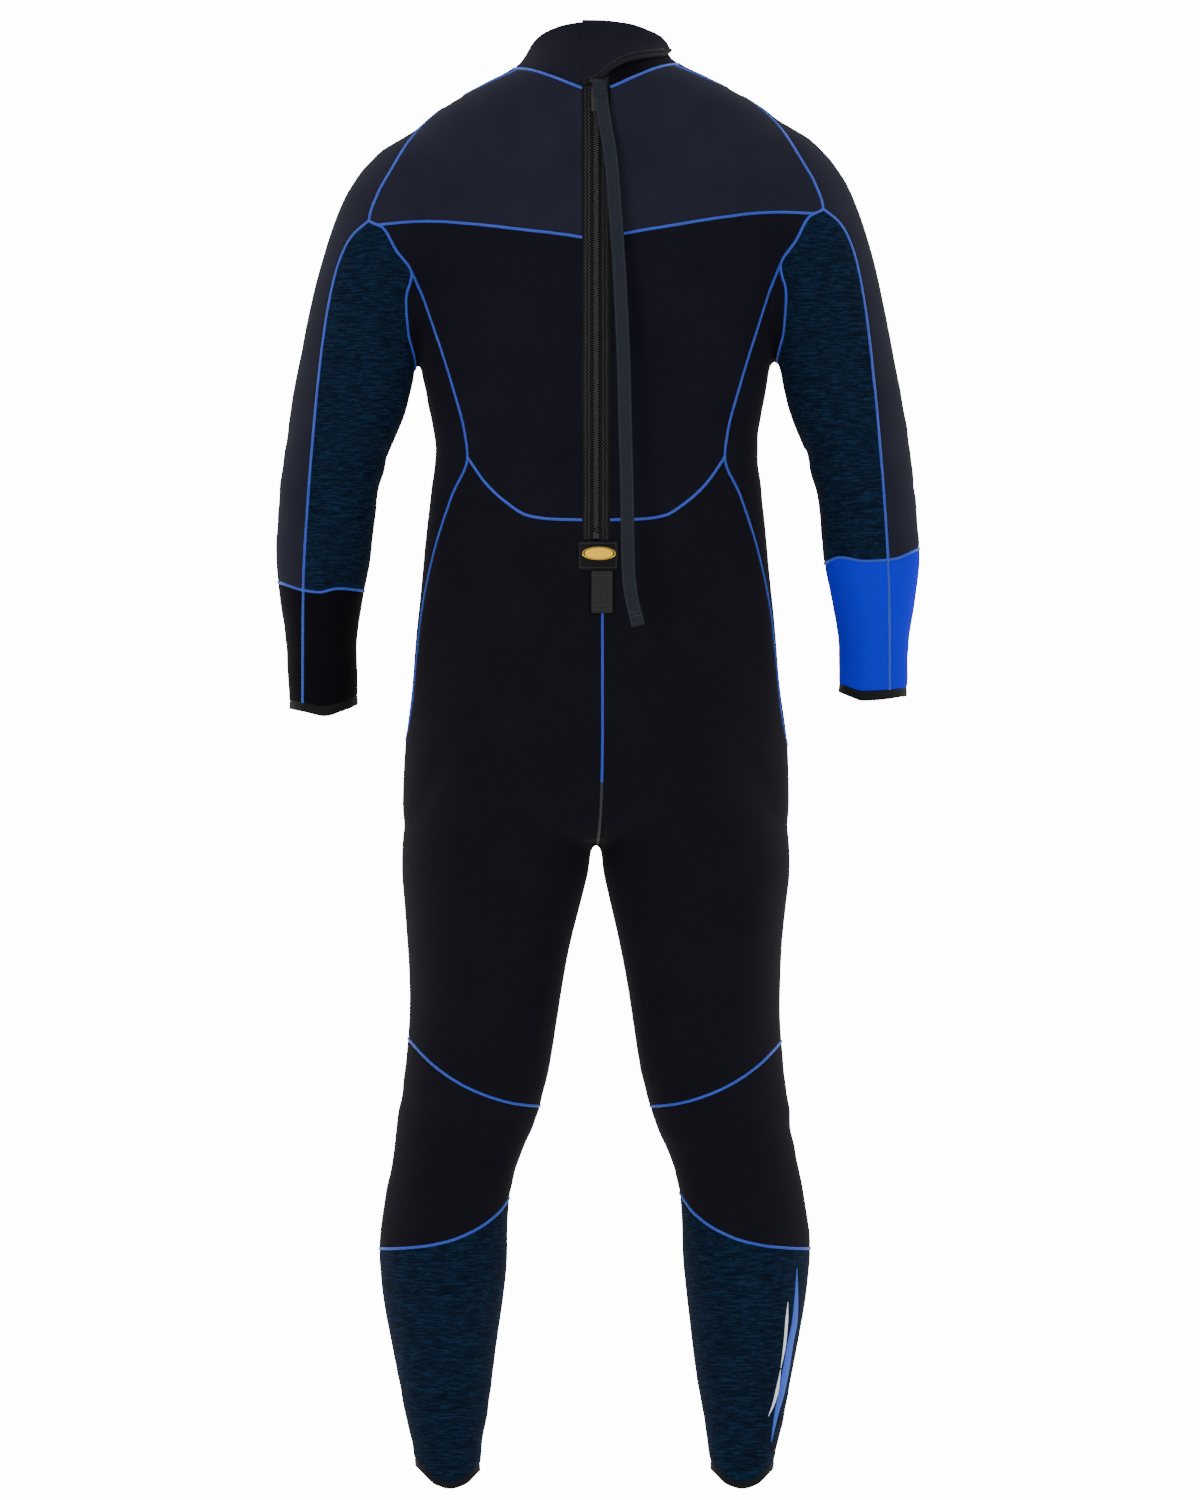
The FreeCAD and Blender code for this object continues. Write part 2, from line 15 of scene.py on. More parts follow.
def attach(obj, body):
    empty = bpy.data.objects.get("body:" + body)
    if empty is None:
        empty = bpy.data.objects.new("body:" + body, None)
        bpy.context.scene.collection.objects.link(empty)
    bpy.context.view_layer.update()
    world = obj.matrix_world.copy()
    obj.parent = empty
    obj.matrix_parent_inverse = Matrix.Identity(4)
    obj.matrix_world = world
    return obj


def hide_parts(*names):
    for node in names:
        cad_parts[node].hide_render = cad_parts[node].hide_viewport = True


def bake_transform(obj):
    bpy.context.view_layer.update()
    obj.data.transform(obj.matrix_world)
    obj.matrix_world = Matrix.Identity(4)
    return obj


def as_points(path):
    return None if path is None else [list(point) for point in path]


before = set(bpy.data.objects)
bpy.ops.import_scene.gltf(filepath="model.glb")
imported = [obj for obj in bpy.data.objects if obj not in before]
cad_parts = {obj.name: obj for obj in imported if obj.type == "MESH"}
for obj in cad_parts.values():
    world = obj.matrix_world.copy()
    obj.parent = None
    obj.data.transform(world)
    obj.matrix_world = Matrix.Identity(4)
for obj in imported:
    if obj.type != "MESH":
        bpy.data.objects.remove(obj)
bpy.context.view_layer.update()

bl_info = {
    "name": "Wetsuit",
    "version": (1, 0, 0),
    "blender": (4, 5, 0),
    "location": "View3D > Sidebar > Wetsuit",
    "description": "Builds a full wetsuit's panels, seams, zip and collar around its frame",
    "category": "Object",
}

MM = 0.001
NECK_HEIGHT = 1500.0
LEFT, RIGHT = -1, 1
SIDES = ((LEFT, "left"), (RIGHT, "right"))

# ---- body sections: height, half width, back y, front y, squareness -------------------------
TORSO = [
    (664, 188, -66, 42, 2.3), (680, 196, -100, 72, 2.4), (700, 199, -114, 88, 2.5),
    (760, 197, -122, 98, 2.5), (830, 189, -118, 104, 2.4), (900, 183, -109, 106, 2.4),
    (965, 177, -104.0, 103, 2.4), (1030, 170, -101.5, 104, 2.4), (1070, 166, -100.0, 108, 2.4),
    (1130, 176, -97.7, 118, 2.4), (1200, 188, -95.1, 127, 2.5), (1260, 196, -92.8, 128, 2.5),
    (1320, 202, -90.5, 118, 2.5), (1370, 200, -88.6, 100, 2.5), (1405, 184, -87.3, 84, 2.4),
    (1432, 144, -86.2, 72, 2.3), (1450, 112, -85.0, 68, 2.2), (1465, 83, -80, 66, 2.1),
    (1485, 71, -73, 65, 2.0), (1530, 70, -67, 64, 2.0),
]
# centre x, y, height, half width, half depth
ARM = [
    (120, 5, 1365, 46, 50), (168, 3, 1352, 54.5, 60), (205, 2, 1310, 60, 62),
    (226, 0, 1250, 60, 60),
    (240, -2, 1190, 59.5, 58), (251, -4, 1130, 59.5, 57), (267, -6, 1068, 53, 54),
    (276, -4, 1015, 50.5, 52), (280, 5, 965, 50, 49), (282.5, 18, 914, 43.5, 43),
    (283, 31, 868, 37, 37), (282, 42, 830, 36, 33), (281, 56, 775, 36, 31),
]
ARM_SHIFT = {LEFT: 0.5, RIGHT: 3.5}        # the right arm is held a little wider
LEG_SHIFT = {LEFT: 1.8, RIGHT: -1.0}
SHOULDER_LEAN = 0.026                     # the right shoulder stands a little higher
# height, centre x, half width, centre y, half depth
LEG = [
    (780, 99, 80, -16, 92), (760, 99, 86, -16, 98), (700, 100, 94, -14, 102),
    (668, 101.5, 97, -12, 100), (636, 103, 94.8, -11, 97), (605, 105, 88.8, -10, 94),
    (543, 110, 79, -6, 86), (481, 114.5, 73.5, -2, 78), (419, 123, 71, 0, 72),
    (388, 129, 69, 0, 69), (357, 137, 65, -1, 65), (327, 146, 62, -6, 63), (296, 152, 62, -13, 63),
    (250, 155.5, 63.2, -20, 64), (203, 155.5, 60, -21, 60), (141, 154.5, 51, -17, 50),
    (79, 152.5, 40.5, -10, 41), (30, 151, 31.5, -6, 35), (-25, 150, 29, -5, 34),
]

# ---- seams, on the wearer's right -------------------------------------------------------------
NECK_SEAM = [(-20, 1432), (0, 1432.5), (14, 1437), (45, 1450), (70, 1459), (95, 1463), (140, 1465)]
COLLAR_ARCH = [(-10, 1500.8), (0, 1501), (30, 1499), (48, 1495), (60, 1489.5), (67, 1483),
               (72, 1475), (80, 1464), (110, 1449)]
CENTRE_SEAM = [(0, 0), (0, 640), (5, 700), (6.5, 780), (6.5, 900), (3, 950), (0, 990), (0, 1600)]
CROSS_BACK_SEAM = [(-5, 1280), (30, 1287), (78, 1294), (126, 1301), (178, 1306), (230, 1303)]
ARM_SEAM = [(222, 700), (209, 945), (203, 1037), (188, 1120), (186, 1155), (193, 1190),
            (195, 1225), (189, 1251), (206, 1278), (219, 1301), (233, 1308), (225, 1334),
            (210, 1361), (191, 1392), (171, 1413), (143, 1433), (100, 1452)]
TORSO_SEAM = [(200, 750), (190, 800), (185, 850), (180, 897), (168, 957), (148, 1020),
              (132, 1059), (135, 1085), (146, 1127), (165, 1188), (188, 1251), (206, 1278),
              (219, 1301), (240, 1312)]
LUMBAR_SEAM = [(-5, 994), (43, 995), (69, 998.5), (94, 1014), (113, 1032), (132, 1059),
               (150, 1085)]
WAIST_SEAM = [(-10, 1034), (35, 1036), (70, 1040), (132, 1059), (150, 1070)]
SLEEVE_SEAM = [(304, 700), (303, 800), (301, 930), (297, 1000), (290.5, 1082), (285, 1141),
               (278, 1200), (268, 1253), (255, 1287), (233, 1308), (200, 1320)]
KNEE_TOP_SEAM = [(-5, 386), (40, 390), (54, 392), (83, 396), (108, 403), (136, 415), (165, 434),
                 (205, 474)]
KNEE_LOW_SEAM = [(70, 330), (88, 300), (100, 284), (122, 268), (151, 256), (182, 250),
                 (230, 246)]
PAD_TOP_SEAM = [(30, 385), (52, 392), (78, 432), (112, 468), (150, 480), (192, 465), (215, 478)]
PAD_LOW_SEAM = [(70, 330), (88, 300), (110, 262), (150, 236), (190, 236), (218, 247), (232, 246)]
FOREARM_SEAM = {LEFT: [(230, 922), (266, 925), (284, 921), (300, 923), (325, 931)],
                RIGHT: [(230, 948), (250, 957), (275, 953), (305, 955), (330, 965)]}
CUFF_HEM = {LEFT: [(235, 812), (260, 800), (282, 795), (300, 798), (325, 803)],
            RIGHT: [(235, 826), (255, 817), (275, 811), (300, 812), (325, 815)]}
ANKLE_HEM = [(105, 30), (121, 16), (135, 4), (150, 0), (165, 4), (179, 16), (195, 30)]
FRONT_SPLIT = [(-40, 9), (20, 9), (141, -1), (250, -3), (327, 9), (388, 15), (480, 13),
               (700, 3), (860, 3), (1000, 5), (1240, 14), (1600, 14)]
WRIST_BAND, ANKLE_BAND = 9.0, 7.0
SLOT_HALF = 14.5
ZIP_BOTTOM, ZIP_TOP = 973.0, 1450.0
ZIP_TILT = 0.03795
ZIP_Y = -103.69           # back surface at the zip's lower end

LEASH_ROUTE = [(5, 1431), (8, 1404), (15, 1370), (19, 1318), (23, 1262), (26, 1205),
               (28.5, 1148), (29.5, 1090), (31.5, 1033), (32, 978), (33, 932), (37, 906),
               (43, 884)]
LEASH_OUT, LEASH_TILT = 5.6, 0.068

ELBOW_BEND = ((268, -6, 1118), (277, -2, 1000))
KNEE_BEND = ((145, -4, 440), (150, -10, 262))


def at(x, y, height):
    return Vector((x * MM, y * MM, (height - NECK_HEIGHT) * MM))


def on_back(x, out, height):
    """A point of the straight zip line's plane, out away from the back."""
    angle = math.atan(ZIP_TILT)
    up = height - ZIP_BOTTOM
    y = ZIP_Y - out * math.cos(angle) + up * math.sin(angle)
    return at(x, y, ZIP_BOTTOM + up * math.cos(angle) + out * math.sin(angle))


class Line:
    """Smooth single-valued curve through (key, value) points, straight beyond its ends."""

    def __init__(self, points):
        points = sorted(points)
        self.keys = [point[0] for point in points]
        self.values = [point[1] for point in points]
        slopes = [(b[1] - a[1]) / (b[0] - a[0]) for a, b in zip(points, points[1:])]
        self.tangents = [slopes[0]]
        for before, after in zip(slopes, slopes[1:]):
            same_way = before * after > 0
            self.tangents.append(2 * before * after / (before + after) if same_way else 0.0)
        self.tangents.append(slopes[-1])

    def __call__(self, key):
        if key <= self.keys[0]:
            return self.values[0] + (key - self.keys[0]) * self.tangents[0]
        if key >= self.keys[-1]:
            return self.values[-1] + (key - self.keys[-1]) * self.tangents[-1]
        index = bisect.bisect_right(self.keys, key) - 1
        width = self.keys[index + 1] - self.keys[index]
        t = (key - self.keys[index]) / width
        low, high = self.values[index], self.values[index + 1]
        leave, arrive = self.tangents[index] * width, self.tangents[index + 1] * width
        return (low * (1 + 2 * t) * (1 - t) ** 2 + leave * t * (1 - t) ** 2
                + high * t * t * (3 - 2 * t) + arrive * t * t * (t - 1))


def by_height(points):
    """A seam as its x at each height."""
    return Line([(height, x) for x, height in points])


# ---- small mesh helpers ------------------------------------------------------------------------
def link(name, mesh):
    piece = bpy.data.objects.new(name, mesh)
    bpy.context.scene.collection.objects.link(piece)
    return piece


def mesh_object(name, bm, smooth=True):
    mesh = bpy.data.meshes.new(name)
    bm.to_mesh(mesh)
    bm.free()
    if smooth:
        mesh.shade_smooth()
    return link(name, mesh)


def finished(piece):
    """Bake a piece's modifiers into its mesh."""
    graph = bpy.context.evaluated_depsgraph_get()
    mesh = bpy.data.meshes.new_from_object(piece.evaluated_get(graph))
    piece.modifiers.clear()
    old = piece.data
    piece.data = mesh
    mesh.name = piece.name
    bpy.data.meshes.remove(old)
    return piece


def ring(bm, points):
    made = bmesh.ops.create_circle(bm, segments=len(points), radius=1.0)
    for vert, point in zip(made["verts"], points):
        vert.co = point
    return made["verts"]


def ring_edges(verts):
    inside = set(verts)
    return list({edge for vert in verts for edge in vert.link_edges
                 if edge.other_vert(vert) in inside})


def tube(bm, rings, capped=True):
    """Closed skin through rings of points."""
    loops = [ring(bm, points) for points in rings]
    edges = [ring_edges(loop) for loop in loops]
    for before, after in zip(edges, edges[1:]):
        bmesh.ops.bridge_loops(bm, edges=before + after)
    if capped:
        for loop in (edges[0], edges[-1]):
            bmesh.ops.edgeloop_fill(bm, edges=loop)
    bmesh.ops.recalc_face_normals(bm, faces=bm.faces)


def rounded(value, squareness):
    return math.copysign(abs(value) ** (2 / squareness), value)


def rows_between(rows, key_index, spacing):
    """Rows of a table smoothly filled in so that neighbours are at most spacing apart."""
    keys = [row[key_index] for row in rows]
    lines = [Line(list(zip(range(len(rows)), [row[i] for row in rows])))
             for i in range(len(rows[0]))]
    filled = []
    for index, (low, high) in enumerate(zip(keys, keys[1:])):
        steps = max(1, math.ceil(abs(high - low) / spacing))
        filled += [index + step / steps for step in range(steps)]
    filled.append(len(rows) - 1)
    return [tuple(line(place) for line in lines) for place in filled]


def torso_ring(row, outset=0.0, segments=96):
    height, half_width, back, front, squareness = row
    half_depth = (front - back) / 2 + outset
    middle = (front + back) / 2
    points = []
    for step in range(segments):
        a = 2 * math.pi * step / segments
        x = (half_width + outset) * rounded(math.cos(a), squareness)
        y = middle + half_depth * rounded(math.sin(a), squareness)
        points.append(at(x, y, height))
    return points


def leg_rings(side):
    for height, middle_x, half_width, middle_y, half_depth in rows_between(LEG, 0, 14):
        fuller = 2.8 * smooth_step((690 - height) / 90)
        middle_x += LEG_SHIFT[side] * smooth_step((690 - height) / 150)
        angles = [2 * math.pi * step / 56 for step in range(56)]
        yield [at(side * (middle_x + (half_width + fuller) * math.cos(a)),
                  middle_y + (half_depth + fuller / 2) * math.sin(a), height) for a in angles]


def arm_rings(side):
    rows = rows_between(ARM, 2, 14)
    for index, (x, y, height, half_width, half_depth) in enumerate(rows):
        before = Vector(rows[max(index - 1, 0)][:3])
        after = Vector(rows[min(index + 1, len(rows) - 1)][:3])
        along = (after - before).normalized()
        deep = Vector((0, 1, 0))
        deep = (deep - along * deep.dot(along)).normalized()
        wide = deep.cross(along)
        points = []
        for step in range(48):
            a = 2 * math.pi * step / 48
            out = ARM_SHIFT[side] * smooth_step((1240 - height) / 160)
            place = Vector((x + out, y, height)) + wide * half_width * math.cos(a)
            place += deep * half_depth * math.sin(a)
            points.append(at(side * place.x, place.y, place.z))
        yield points


# ---- the body's surface --------------------------------------------------------------------------
def crease(height, middle, spread):
    return math.exp(-((height - middle) / spread) ** 2)


def relief(x, y, height):
    """How far the cloth stands in or out of the plain sections, in mm."""
    side = abs(x)
    depth = 0.0
    if y < 0 and side < 150:
        depth -= 9.0 * math.exp(-(side / 24) ** 2) * crease(height, 745, 75)
        depth -= 1.6 * math.exp(-(side / 30) ** 2) * crease(height, 1150, 170)
        depth += 2.0 * math.exp(-((side - 85) / 40) ** 2) * crease(height, 1290, 60)
    if y > 0 and side < 150:
        depth += 4.0 * math.exp(-((side - 78) / 46) ** 2) * crease(height, 1270, 55)
        depth -= 2.5 * math.exp(-(side / 18) ** 2) * crease(height, 1265, 70)
    place = Vector((x, y, height))
    slow = noise.noise(place * 0.011) * 1.3
    folds = noise.noise(Vector((x * 0.012, y * 0.012, height * 0.05 + side * 0.018)))
    limb = crease(height, 1050, 70) if side > 215 else 0.0
    limb += 0.9 * crease(height, 370, 60) if height < 480 else 0.0
    limb += 0.55 * crease(height, 1045, 60) if side < 190 else 0.0
    limb += 0.6 * crease(height, 60, 60) + 0.5 * crease(height, 850, 40) * (side > 230)
    limb += 0.8 * crease(height, 1190, 60) * (150 < side < 230)
    return depth + slow + 2.1 * folds * limb


def body_surface(voxel):
    bm = bmesh.new()
    tube(bm, [torso_ring(row) for row in rows_between(TORSO, 0, 12)])
    for side, _ in SIDES:
        tube(bm, list(arm_rings(side)))
        tube(bm, list(leg_rings(side)))
    body = mesh_object("body_surface", bm)
    remesh = body.modifiers.new("remesh", "REMESH")
    remesh.mode = "VOXEL"
    remesh.voxel_size = voxel
    finished(body)
    bm = bmesh.new()
    bm.from_mesh(body.data)
    bpy.data.objects.remove(body)
    for _ in range(9):
        bmesh.ops.smooth_vert(bm, verts=bm.verts, factor=0.5, use_axis_x=True,
                              use_axis_y=True, use_axis_z=True)
    bm.normal_update()
    for vert in bm.verts:
        x, y, height = vert.co.x / MM, vert.co.y / MM, vert.co.z / MM + NECK_HEIGHT
        vert.co += vert.normal * relief(x, y, height) * MM
    return bm


# ---- cutting seams into the surface --------------------------------------------------------------
def measures(place):
    return place.x / MM, place.y / MM, place.z / MM + NECK_HEIGHT


class Seam:
    """A seam drawn through the body: axis 0 is x by height, 1 is y by height, 2 height by x."""

    def __init__(self, axis, points, window, side=RIGHT, lean=0.0):
        self.axis, self.window, self.side, self.lean = axis, window, side, lean
        self.line = Line(points) if axis != 0 else by_height(points)

    def past(self, x, y, height):
        """Distance past the seam: outwards, forwards or upwards."""
        if self.axis == 0:
            return self.side * x - self.line(height)
        if self.axis == 1:
            return y - self.line(height)
        return height - self.line(self.side * x) + self.lean * y

    def settle(self, vert):
        """Put a new corner, made on the flattened seam, back on the real one."""
        x, y, height = measures(vert.co)
        if self.axis == 0:
            vert.co.x = self.side * self.line(height) * MM
        elif self.axis == 1:
            vert.co.y = self.line(height) * MM
        else:
            vert.co.z = (self.line(self.side * x) - self.lean * y - NECK_HEIGHT) * MM


def cut(bm, seam):
    """Warp the mesh until the seam is flat, cut along it and let the mesh spring back."""
    faces = [face for face in bm.faces if seam.window(*measures(face.calc_center_median()))]
    edges = dict.fromkeys(edge for face in faces for edge in face.edges)
    homes = {vert: vert.co.copy() for face in faces for vert in face.verts}
    for vert, home in homes.items():
        vert.co[seam.axis] = seam.past(*measures(home)) * MM
    normal = Vector((0, 0, 0))
    normal[seam.axis] = 1.0
    made = bmesh.ops.bisect_plane(bm, geom=faces + list(homes) + list(edges), dist=1.5e-4,
                                  plane_co=(0, 0, 0), plane_no=normal)
    for vert, home in homes.items():
        vert.co = home
    for item in made["geom_cut"]:
        if isinstance(item, bmesh.types.BMVert) and item not in homes:
            seam.settle(item)


SPLIT = Line(FRONT_SPLIT)
ARM_LINE = by_height(ARM_SEAM)
TORSO_LINE = by_height(TORSO_SEAM)
SLEEVE_LINE = by_height(SLEEVE_SEAM)
NECK_LINE = Line(NECK_SEAM)
ARCH_LINE = Line(COLLAR_ARCH)
CROSS_LINE = Line(CROSS_BACK_SEAM)
LUMBAR_LINE = Line(LUMBAR_SEAM)
WAIST_LINE = Line(WAIST_SEAM)
KNEE_TOP_LINE, KNEE_LOW_LINE = Line(KNEE_TOP_SEAM), Line(KNEE_LOW_SEAM)
PAD_TOP_LINE, PAD_LOW_LINE = Line(PAD_TOP_SEAM), Line(PAD_LOW_SEAM)
ANKLE_LINE = Line(ANKLE_HEM)
FOREARM_LINE = {side: Line(points) for side, points in FOREARM_SEAM.items()}
CENTRE_LINE = by_height(CENTRE_SEAM)
CUFF_LINE = {side: Line(points) for side, points in CUFF_HEM.items()}
ARCH_LEAN = 0.08


def raised(points, rise):
    return [(x, height + rise) for x, height in points]


def all_seams():
    def in_back(y, height):
        return y < SPLIT(height)

    yield Seam(1, FRONT_SPLIT, lambda x, y, h: (h < 780 or h > 1415) and abs(x) < 235)
    yield Seam(0, [(0, 0), (0, 1600)], lambda x, y, h: abs(x) < 20 and y > 0 and h < 1050)
    yield Seam(0, CENTRE_SEAM, lambda x, y, h: abs(x) < 26 and y <= 0 and h < ZIP_BOTTOM + 8)
    for side, _ in SIDES:
        def near(x, low, high, side=side):
            return low < side * x < high
        yield Seam(0, [(SLOT_HALF, 0), (SLOT_HALF, 1600)],
                   lambda x, y, h, near=near: near(x, 2, 26) and y < -40 and h > 960, side)
        yield Seam(2, NECK_SEAM, lambda x, y, h, near=near: near(x, -9, 150) and h > 1410, side)
        yield Seam(2, COLLAR_ARCH, lambda x, y, h, near=near: near(x, -9, 120) and h > 1440, side,
                   ARCH_LEAN)
        yield Seam(0, ARM_SEAM, lambda x, y, h, near=near: near(x, 90, 262) and h > 1108, side)
        yield Seam(2, FOREARM_SEAM[side],
                   lambda x, y, h, near=near: near(x, 212, 340) and h < 1000, side)
        for rise in (0, WRIST_BAND):
            yield Seam(2, raised(CUFF_HEM[side], rise),
                       lambda x, y, h, near=near: near(x, 212, 340) and h < 850, side)
        yield Seam(0, SLEEVE_SEAM,
                   lambda x, y, h, near=near: near(x, 215, 330) and 780 < h < 1335, side)
        yield Seam(0, TORSO_SEAM, lambda x, y, h, near=near, side=side:
                   near(x, 100, ARM_LINE(h) + 6) and 740 < h < 1262, side)
        yield Seam(2, CROSS_BACK_SEAM, lambda x, y, h, near=near: near(x, 8, 225)
                   and 1265 < h < 1325 and in_back(y, h) and x * x < (ARM_LINE(h) + 6) ** 2, side)
        yield Seam(2, LUMBAR_SEAM, lambda x, y, h, near=near: near(x, -9, 140)
                   and 980 < h < 1090 and in_back(y, h), side)
        yield Seam(2, WAIST_SEAM, lambda x, y, h, near=near: near(x, -9, 140)
                   and 1010 < h < 1090 and not in_back(y, h), side)
        yield Seam(2, KNEE_TOP_SEAM, lambda x, y, h, near=near: near(x, 20, 215)
                   and 360 < h < 500 and in_back(y, h), side)
        yield Seam(2, KNEE_LOW_SEAM, lambda x, y, h, near=near: near(x, 60, 235)
                   and 225 < h < 340 and in_back(y, h), side)
        yield Seam(2, PAD_TOP_SEAM, lambda x, y, h, near=near: near(x, 20, 215)
                   and 360 < h < 500 and not in_back(y, h), side)
        yield Seam(2, PAD_LOW_SEAM, lambda x, y, h, near=near: near(x, 60, 235)
                   and 220 < h < 340 and not in_back(y, h), side)
        for rise in (0, ANKLE_BAND):
            yield Seam(2, raised(ANKLE_HEM, rise),
                       lambda x, y, h, near=near: near(x, 100, 200) and h < 60, side)
    yield Seam(2, [(-50, ZIP_BOTTOM), (50, ZIP_BOTTOM)],
               lambda x, y, h: abs(x) < SLOT_HALF + 3 and y < -40 and 950 < h < 1000)


def panel_of(x, y, h):
    """Name of the panel that a point of the surface belongs to, or None where it is open."""
    behind = y < SPLIT(h)
    side, name = SIDES[x > (CENTRE_LINE(h) if y <= 0 and h < ZIP_BOTTOM + 8 else 0)]
    out = abs(x)
    if out < 120 and h > NECK_LINE(out):
        if h > ARCH_LINE(out) - ARCH_LEAN * y or (out < SLOT_HALF and y < -40):
            return None
        return "collar_under" if x > 0 and y < 14 else "collar_band"
    if out < SLOT_HALF and y < -40 and h > ZIP_BOTTOM:
        return None
    if out > ARM_LINE(h) and h > 700:
        if h < CUFF_LINE[side](out):
            return None
        if h < CUFF_LINE[side](out) + WRIST_BAND:
            return "wrist_binding_" + name
        place = "outer_" if out > SLEEVE_LINE(h) or h > 1308 else "inner_"
        return ("forearm_" if h < FOREARM_LINE[side](out) else "sleeve_") + place + name
    if 752 < h < 1262 and out > TORSO_LINE(h):
        return "side_panel_" + name
    if h < 60 and h < ANKLE_LINE(out) + ANKLE_BAND:
        return "ankle_binding_" + name if h > ANKLE_LINE(out) else None
    if behind:
        if h > CROSS_LINE(out):
            return "back_yoke_" + name
        if h > 980 and h > LUMBAR_LINE(out):
            return "mid_back_" + name
        if h > KNEE_TOP_LINE(out):
            return "seat_panel_" + name
        return ("knee_back_" if h > KNEE_LOW_LINE(out) else "calf_") + name
    if h > WAIST_LINE(min(out, 150)):
        return "chest_panel"
    if h > PAD_TOP_LINE(out):
        return "front_thigh_" + name
    return ("knee_pad_" if h > PAD_LOW_LINE(out) else "calf_") + name


class Garment:
    """The body surface with its seams cut, and the panel that each face belongs to."""

    def __init__(self, voxel):
        self.bm = body_surface(voxel)
        for seam in all_seams():
            cut(self.bm, seam)
        bare = []
        self.panels = {}
        for face in self.bm.faces:
            panel = panel_of(*measures(face.calc_center_median()))
            if panel is None:
                bare.append(face)
            else:
                self.panels.setdefault(panel, []).append(face)
        bmesh.ops.delete(self.bm, geom=bare, context="FACES")
        self.owner = {face: name for name, faces in self.panels.items() for face in faces}
        self.bm.normal_update()
        self.press_seams()
        for vert in self.bm.verts:
            x, _, height = measures(vert.co)
            vert.co.z += SHOULDER_LEAN * x * smooth_step((height - 1130) / 170) * MM
        self.bm.faces.index_update()

    def seam_edges(self):
        """Edges where two panels meet, with the two names."""
        for edge in self.bm.edges:
            faces = edge.link_faces
            if len(faces) == 2 and self.owner[faces[0]] != self.owner[faces[1]]:
                yield edge, frozenset(self.owner[face] for face in faces)

    def press_seams(self):
        """Let the cloth dip a little along every seam."""
        on_seam = {vert for edge, _ in self.seam_edges() for vert in edge.verts}
        beside = {edge.other_vert(vert) for vert in on_seam for edge in vert.link_edges} - on_seam
        for verts, depth in ((on_seam, 0.75), (beside, 0.25)):
            for vert in verts:
                vert.co -= vert.normal * depth * MM

    def panel_mesh(self, name):
        """A new mesh holding one panel's outer face."""
        kept = {face.index for face in self.panels[name]}
        panel = self.bm.copy()
        others = [face for face in panel.faces if face.index not in kept]
        bmesh.ops.delete(panel, geom=others, context="FACES")
        return panel


# ---- building from rows of points ----------------------------------------------------------------
def strip(bm, rows, finish=0):
    """Sheet of faces through rows of points."""
    across, along = len(rows[0]) - 1, len(rows) - 1
    made = bmesh.ops.create_grid(bm, x_segments=across, y_segments=along, size=1.0)
    for index, vert in enumerate(made["verts"]):
        vert.co = rows[index // (across + 1)][index % (across + 1)]
    for face in {face: None for vert in made["verts"] for face in vert.link_faces}:
        face.material_index = finish
    return made["verts"]


def plate(name, rows, thickness, sharp=50):
    """Cloth of one thickness whose outer side runs through rows of points."""
    bm = bmesh.new()
    strip(bm, rows)
    piece = mesh_object(name, bm)
    thicken(piece, thickness, sharp)
    return piece


def thicken(piece, thickness, sharp=50, bulge=0.0):
    solid = piece.modifiers.new("thickness", "SOLIDIFY")
    solid.thickness = thickness * MM
    solid.offset = -1.0
    if bulge:
        bevel = piece.modifiers.new("rolled edge", "BEVEL")
        bevel.width = bulge * MM
        bevel.segments = 2
        bevel.limit_method = "ANGLE"
        bevel.angle_limit = math.radians(60)
    finished(piece)
    piece.data.set_sharp_from_angle(angle=math.radians(sharp))
    return piece


def spread(low, high, steps):
    return [low + (high - low) * step / steps for step in range(steps + 1)]


def smooth_step(value):
    value = min(max(value, 0.0), 1.0)
    return value * value * (3 - 2 * value)


def evenly(points, spacing):
    """Points (with normals) along a run, at about one spacing from each other."""
    lengths = [0.0]
    for (a, _), (b, _) in zip(points, points[1:]):
        lengths.append(lengths[-1] + (b - a).length)
    steps = max(2, round(lengths[-1] / spacing))
    run, index = [], 0
    for step in range(steps + 1):
        place = lengths[-1] * step / steps
        while index < len(points) - 2 and lengths[index + 1] < place:
            index += 1
        width = max(lengths[index + 1] - lengths[index], 1e-9)
        t = min(max((place - lengths[index]) / width, 0.0), 1.0)
        (a, normal_a), (b, normal_b) = points[index], points[index + 1]
        run.append((a.lerp(b, t), normal_a.lerp(normal_b, t).normalized()))
    return run


def eased(points, passes):
    """Smooth a run of points without moving its ends."""
    for _ in range(passes):
        inner = [((a + b * 2 + c) / 4, n) for (a, _), (b, n), (c, _)
                 in zip(points, points[1:], points[2:])]
        points = [points[0]] + inner + [points[-1]]
    return points


def frames(points):
    """Each point with its outward and sideways directions."""
    for index, (place, normal) in enumerate(points):
        along = points[min(index + 1, len(points) - 1)][0] - points[max(index - 1, 0)][0]
        side = along.cross(normal).normalized()
        yield place, side.cross(along).normalized(), side


def ribbon(bm, points, profile, finish=0):
    """Strip with a fixed profile of (across, out) in mm along a run of points."""
    rows = [[place + side * across * MM + out * height * MM for across, height in profile]
            for place, out, side in frames(points)]
    strip(bm, rows, finish)


def zigzag(bm, points, reach, step, radius, lift, finish=0):
    """Thread that crosses the run from edge to edge."""
    run = list(frames(evenly(points, step * MM)))
    path = []
    for index, (place, out, side) in enumerate(run):
        across = reach if index % 2 else -reach
        path.append((place + side * across * MM + out * lift * MM, out))
    ribbon(bm, path, ((radius, 0), (0, radius * 1.3), (-radius, 0)), finish)


